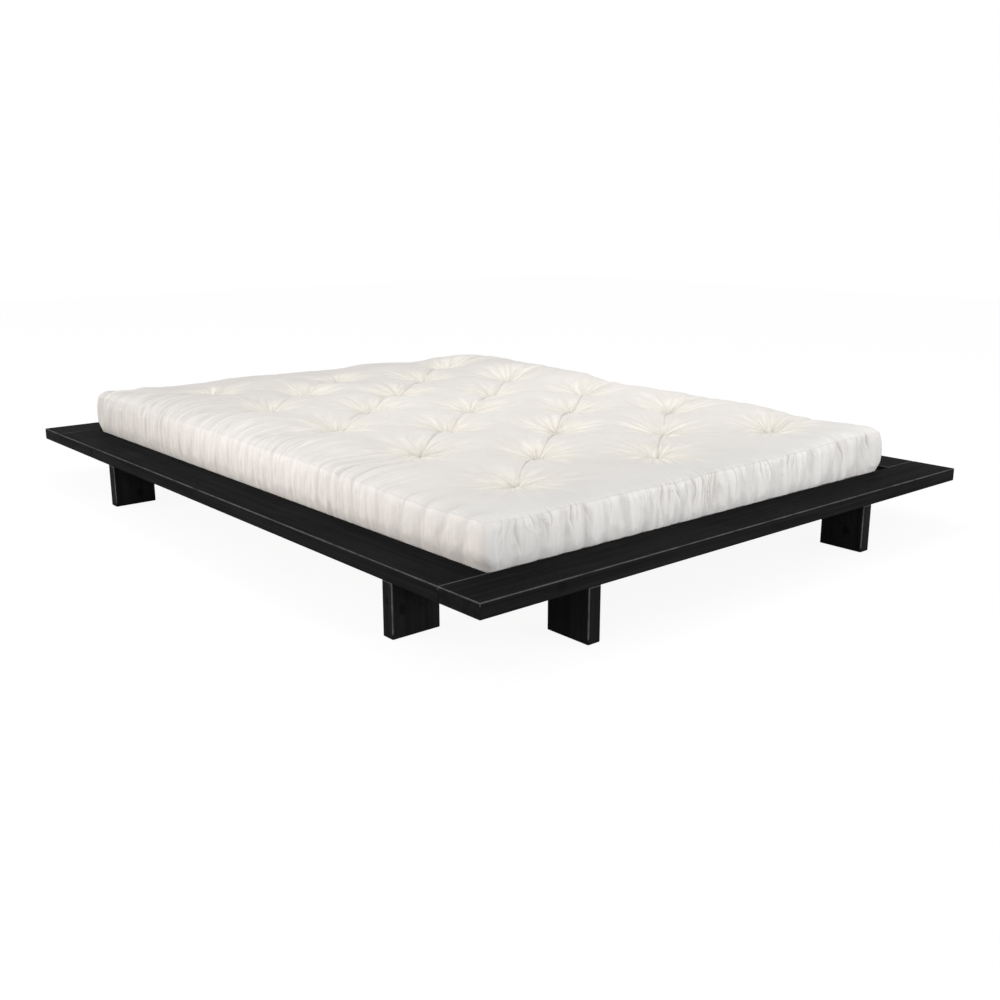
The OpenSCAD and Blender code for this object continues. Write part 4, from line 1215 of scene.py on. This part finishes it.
def make_stitches(cover, at):
    """Two short crossed stitches in every dip: each is a low arch whose ends go down into the cotton."""
    t = np.linspace(0, math.pi, 9)
    across = -0.5 * STITCH * 1.15 * np.cos(t)
    arch = np.column_stack([across, np.zeros(9), STITCH_RISE * np.sin(t) - STITCH_SUNK])
    points, faces, uv = tube(arch, STITCH_RADIUS)
    all_points, all_faces = [], []
    for k, (x, y) in enumerate(TUFTS):
        dip = at.top & (np.hypot(at.x - x, at.y - y) < 0.5 * CELL)
        z = cover[dip, 2].mean()
        for first in (0.5, 2.0):
            turn = first + 0.7 * math.sin(3.1 * k)
            c, s = math.cos(turn), math.sin(turn)
            turned = points @ np.array([[c, s, 0], [-s, c, 0], [0, 0, 1]])
            start = len(all_points) * len(points)
            all_points.append(turned + [x, y, z] + np.array(CORNER))
            all_faces += [[start + corner for corner in face] for face in faces]
    uvs = np.tile(uv, (len(all_points), 1))
    piece = make_piece("tuft_stitches", np.concatenate(all_points), all_faces, THREAD, None, uvs)
    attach(piece, "mattress")
    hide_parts("tuft_threads")


def make_foam():
    """The foam core: a flat block whose edges are rounded by quarter circles."""
    low, high = (np.array(corner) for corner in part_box("foam_core"))
    size = high - low
    points, faces, _ = plank_surface(plank_outline(size[0], size[1], 0), size[2], FOAM_RADIUS)
    piece = make_piece("foam_block", points + low, faces, FOAM)
    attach(piece, "mattress")
    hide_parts("foam_core")


make_stitches(*make_mattress())
make_foam()


# Finishes of the CAD nodes that stay

PALE_PINE, DARK_PINE = (0.62, 0.42, 0.22), (0.44, 0.25, 0.11)
SLAT_PINE = bare_timber_material("slat pine", PALE_PINE, DARK_PINE, 0.0052, (0.0, 0.0, 0.06))
BEECH = bare_timber_material("dowel beech", (0.55, 0.36, 0.22), (0.42, 0.26, 0.15), 0.002)
TAPE = webbing_material()
ZINC = steel_material("zinc plate", (0.52, 0.54, 0.56), 0.38, 260.0)
SCREW = steel_material("screw steel", (0.62, 0.60, 0.55), 0.3, 900.0)

FINISHES = [
    (SLAT_PINE, [f"slat_{i:02d}" for i in range(1, 17)]),
    (TAPE, ["webbing_left", "webbing_right"]),
    (BEECH, ["corner_dowels", "leg_dowels", "centre_leg_dowels"]),
    (ZINC, ["corner_plates", "leg_brackets", "beam_shoes"]),
    (SCREW, ["webbing_staples", "slat_screws", "corner_plate_screws", "leg_bracket_screws", "ledge_screws",
             "beam_shoe_screws"]),
]
for finish, names in FINISHES:
    for name in names:
        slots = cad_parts[name].data.materials
        for index in range(len(slots)):
            slots[index] = finish


# Studio: floor, world, lamps and camera

FLOOR_HALF, FLOOR_BELOW = 9.0, 0.0005
FLOOR_GREY, FLOOR_WHITE, FLOOR_GLOW = (0.86, 0.86, 0.86), 1.06, 0.86
WORLD_FILL = 0.64
# Each lamp's name, its place, what it is aimed at, its size and its power in watts
LAMPS = [
    ("left softbox", (-5.4, -0.6, 2.0), (0, 0, 0.2), (1.6, 1.2), 62),
    ("head softbox", (-5.6, 4.4, 2.2), (-0.4, 0, 0.2), (1.4, 1.0), 72),
    ("side softbox", (-3.2, 1.4, 0.7), (-0.7, 0.3, 0.2), (1.0, 0.6), 8),
    ("foot softbox", (1.0, -5.6, 0.8), (0.3, -1.0, 0.2), (2.2, 1.2), 95),
    ("top softbox", (0.4, 0.1, 2.3), (0.4, 0.1, 0.2), (1.2, 1.2), 12),
]
CAMERA_PLACE, CAMERA_LENS = (-2.1279, -2.6673, 0.8661), 40.615
CAMERA_AZIMUTH, CAMERA_ELEVATION = math.radians(49.441), math.radians(-14.406)


def floor_material():
    """A white floor that keeps a light shadow: mostly even white to the camera, glossy and clear rays."""
    made = bpy.data.materials.new("studio floor")
    made.use_nodes = True
    w = Wiring(made.node_tree)
    made.node_tree.nodes.clear()
    speck = w.spread(w.noise(w.object_coordinates(), 3.0), 0.3, 0.7, 0.995, 1.0)
    matt = w.node("ShaderNodeBsdfDiffuse", {"Color": w.tinted(FLOOR_GREY, speck)}).outputs[0]
    white = w.node("ShaderNodeEmission", {"Color": (1, 1, 1, 1), "Strength": FLOOR_WHITE}).outputs[0]
    mixed = w.node("ShaderNodeMixShader", {0: w.times(w.seen(), FLOOR_GLOW), 1: matt, 2: white}).outputs[0]
    w.node("ShaderNodeOutputMaterial", {"Surface": mixed})
    return made


def make_floor():
    """A flat square floor just under the bed."""
    square = plank_outline(2 * FLOOR_HALF, 2 * FLOOR_HALF, 0) - FLOOR_HALF
    corners = np.column_stack([square, np.full(4, -FLOOR_BELOW)])
    floor = make_piece("studio_floor", corners, [[0, 1, 2, 3]], floor_material())


def make_world():
    """White to the camera and in reflections, and a plain soft fill on everything else."""
    world = bpy.data.worlds.new("studio")
    bpy.context.scene.world = world
    world.use_nodes = True
    w = Wiring(world.node_tree)
    background = world.node_tree.nodes["Background"].inputs
    w.give(background["Color"], (1, 1, 1, 1))
    w.give(background["Strength"], w.plus(w.times(w.seen(), 1.0 - WORLD_FILL), WORLD_FILL))


def make_lamp(name, place, aim, size, power):
    """A soft rectangular lamp that looks from its place at its aim."""
    data = bpy.data.lights.new(name, "AREA")
    data.shape = "RECTANGLE"
    data.size, data.size_y = size
    data.energy = power
    lamp = new_object(name, data)
    lamp.location = place
    lamp.rotation_euler = (Vector(aim) - Vector(place)).to_track_quat("-Z", "Y").to_euler()


def make_camera():
    """The photograph's viewpoint: low, from the foot end's left."""
    data = bpy.data.cameras.new("photo camera")
    data.sensor_width, data.lens = 36.0, CAMERA_LENS
    camera = new_object("photo camera", data)
    camera.location = CAMERA_PLACE
    turn, rise = CAMERA_AZIMUTH, CAMERA_ELEVATION
    look = Vector((math.cos(turn) * math.cos(rise), math.sin(turn) * math.cos(rise), math.sin(rise)))
    camera.rotation_euler = look.to_track_quat("-Z", "Y").to_euler()
    bpy.context.scene.camera = camera


make_floor()
make_world()
for lamp in LAMPS:
    make_lamp(*lamp)
make_camera()
bpy.context.scene.view_settings.view_transform = "Standard"
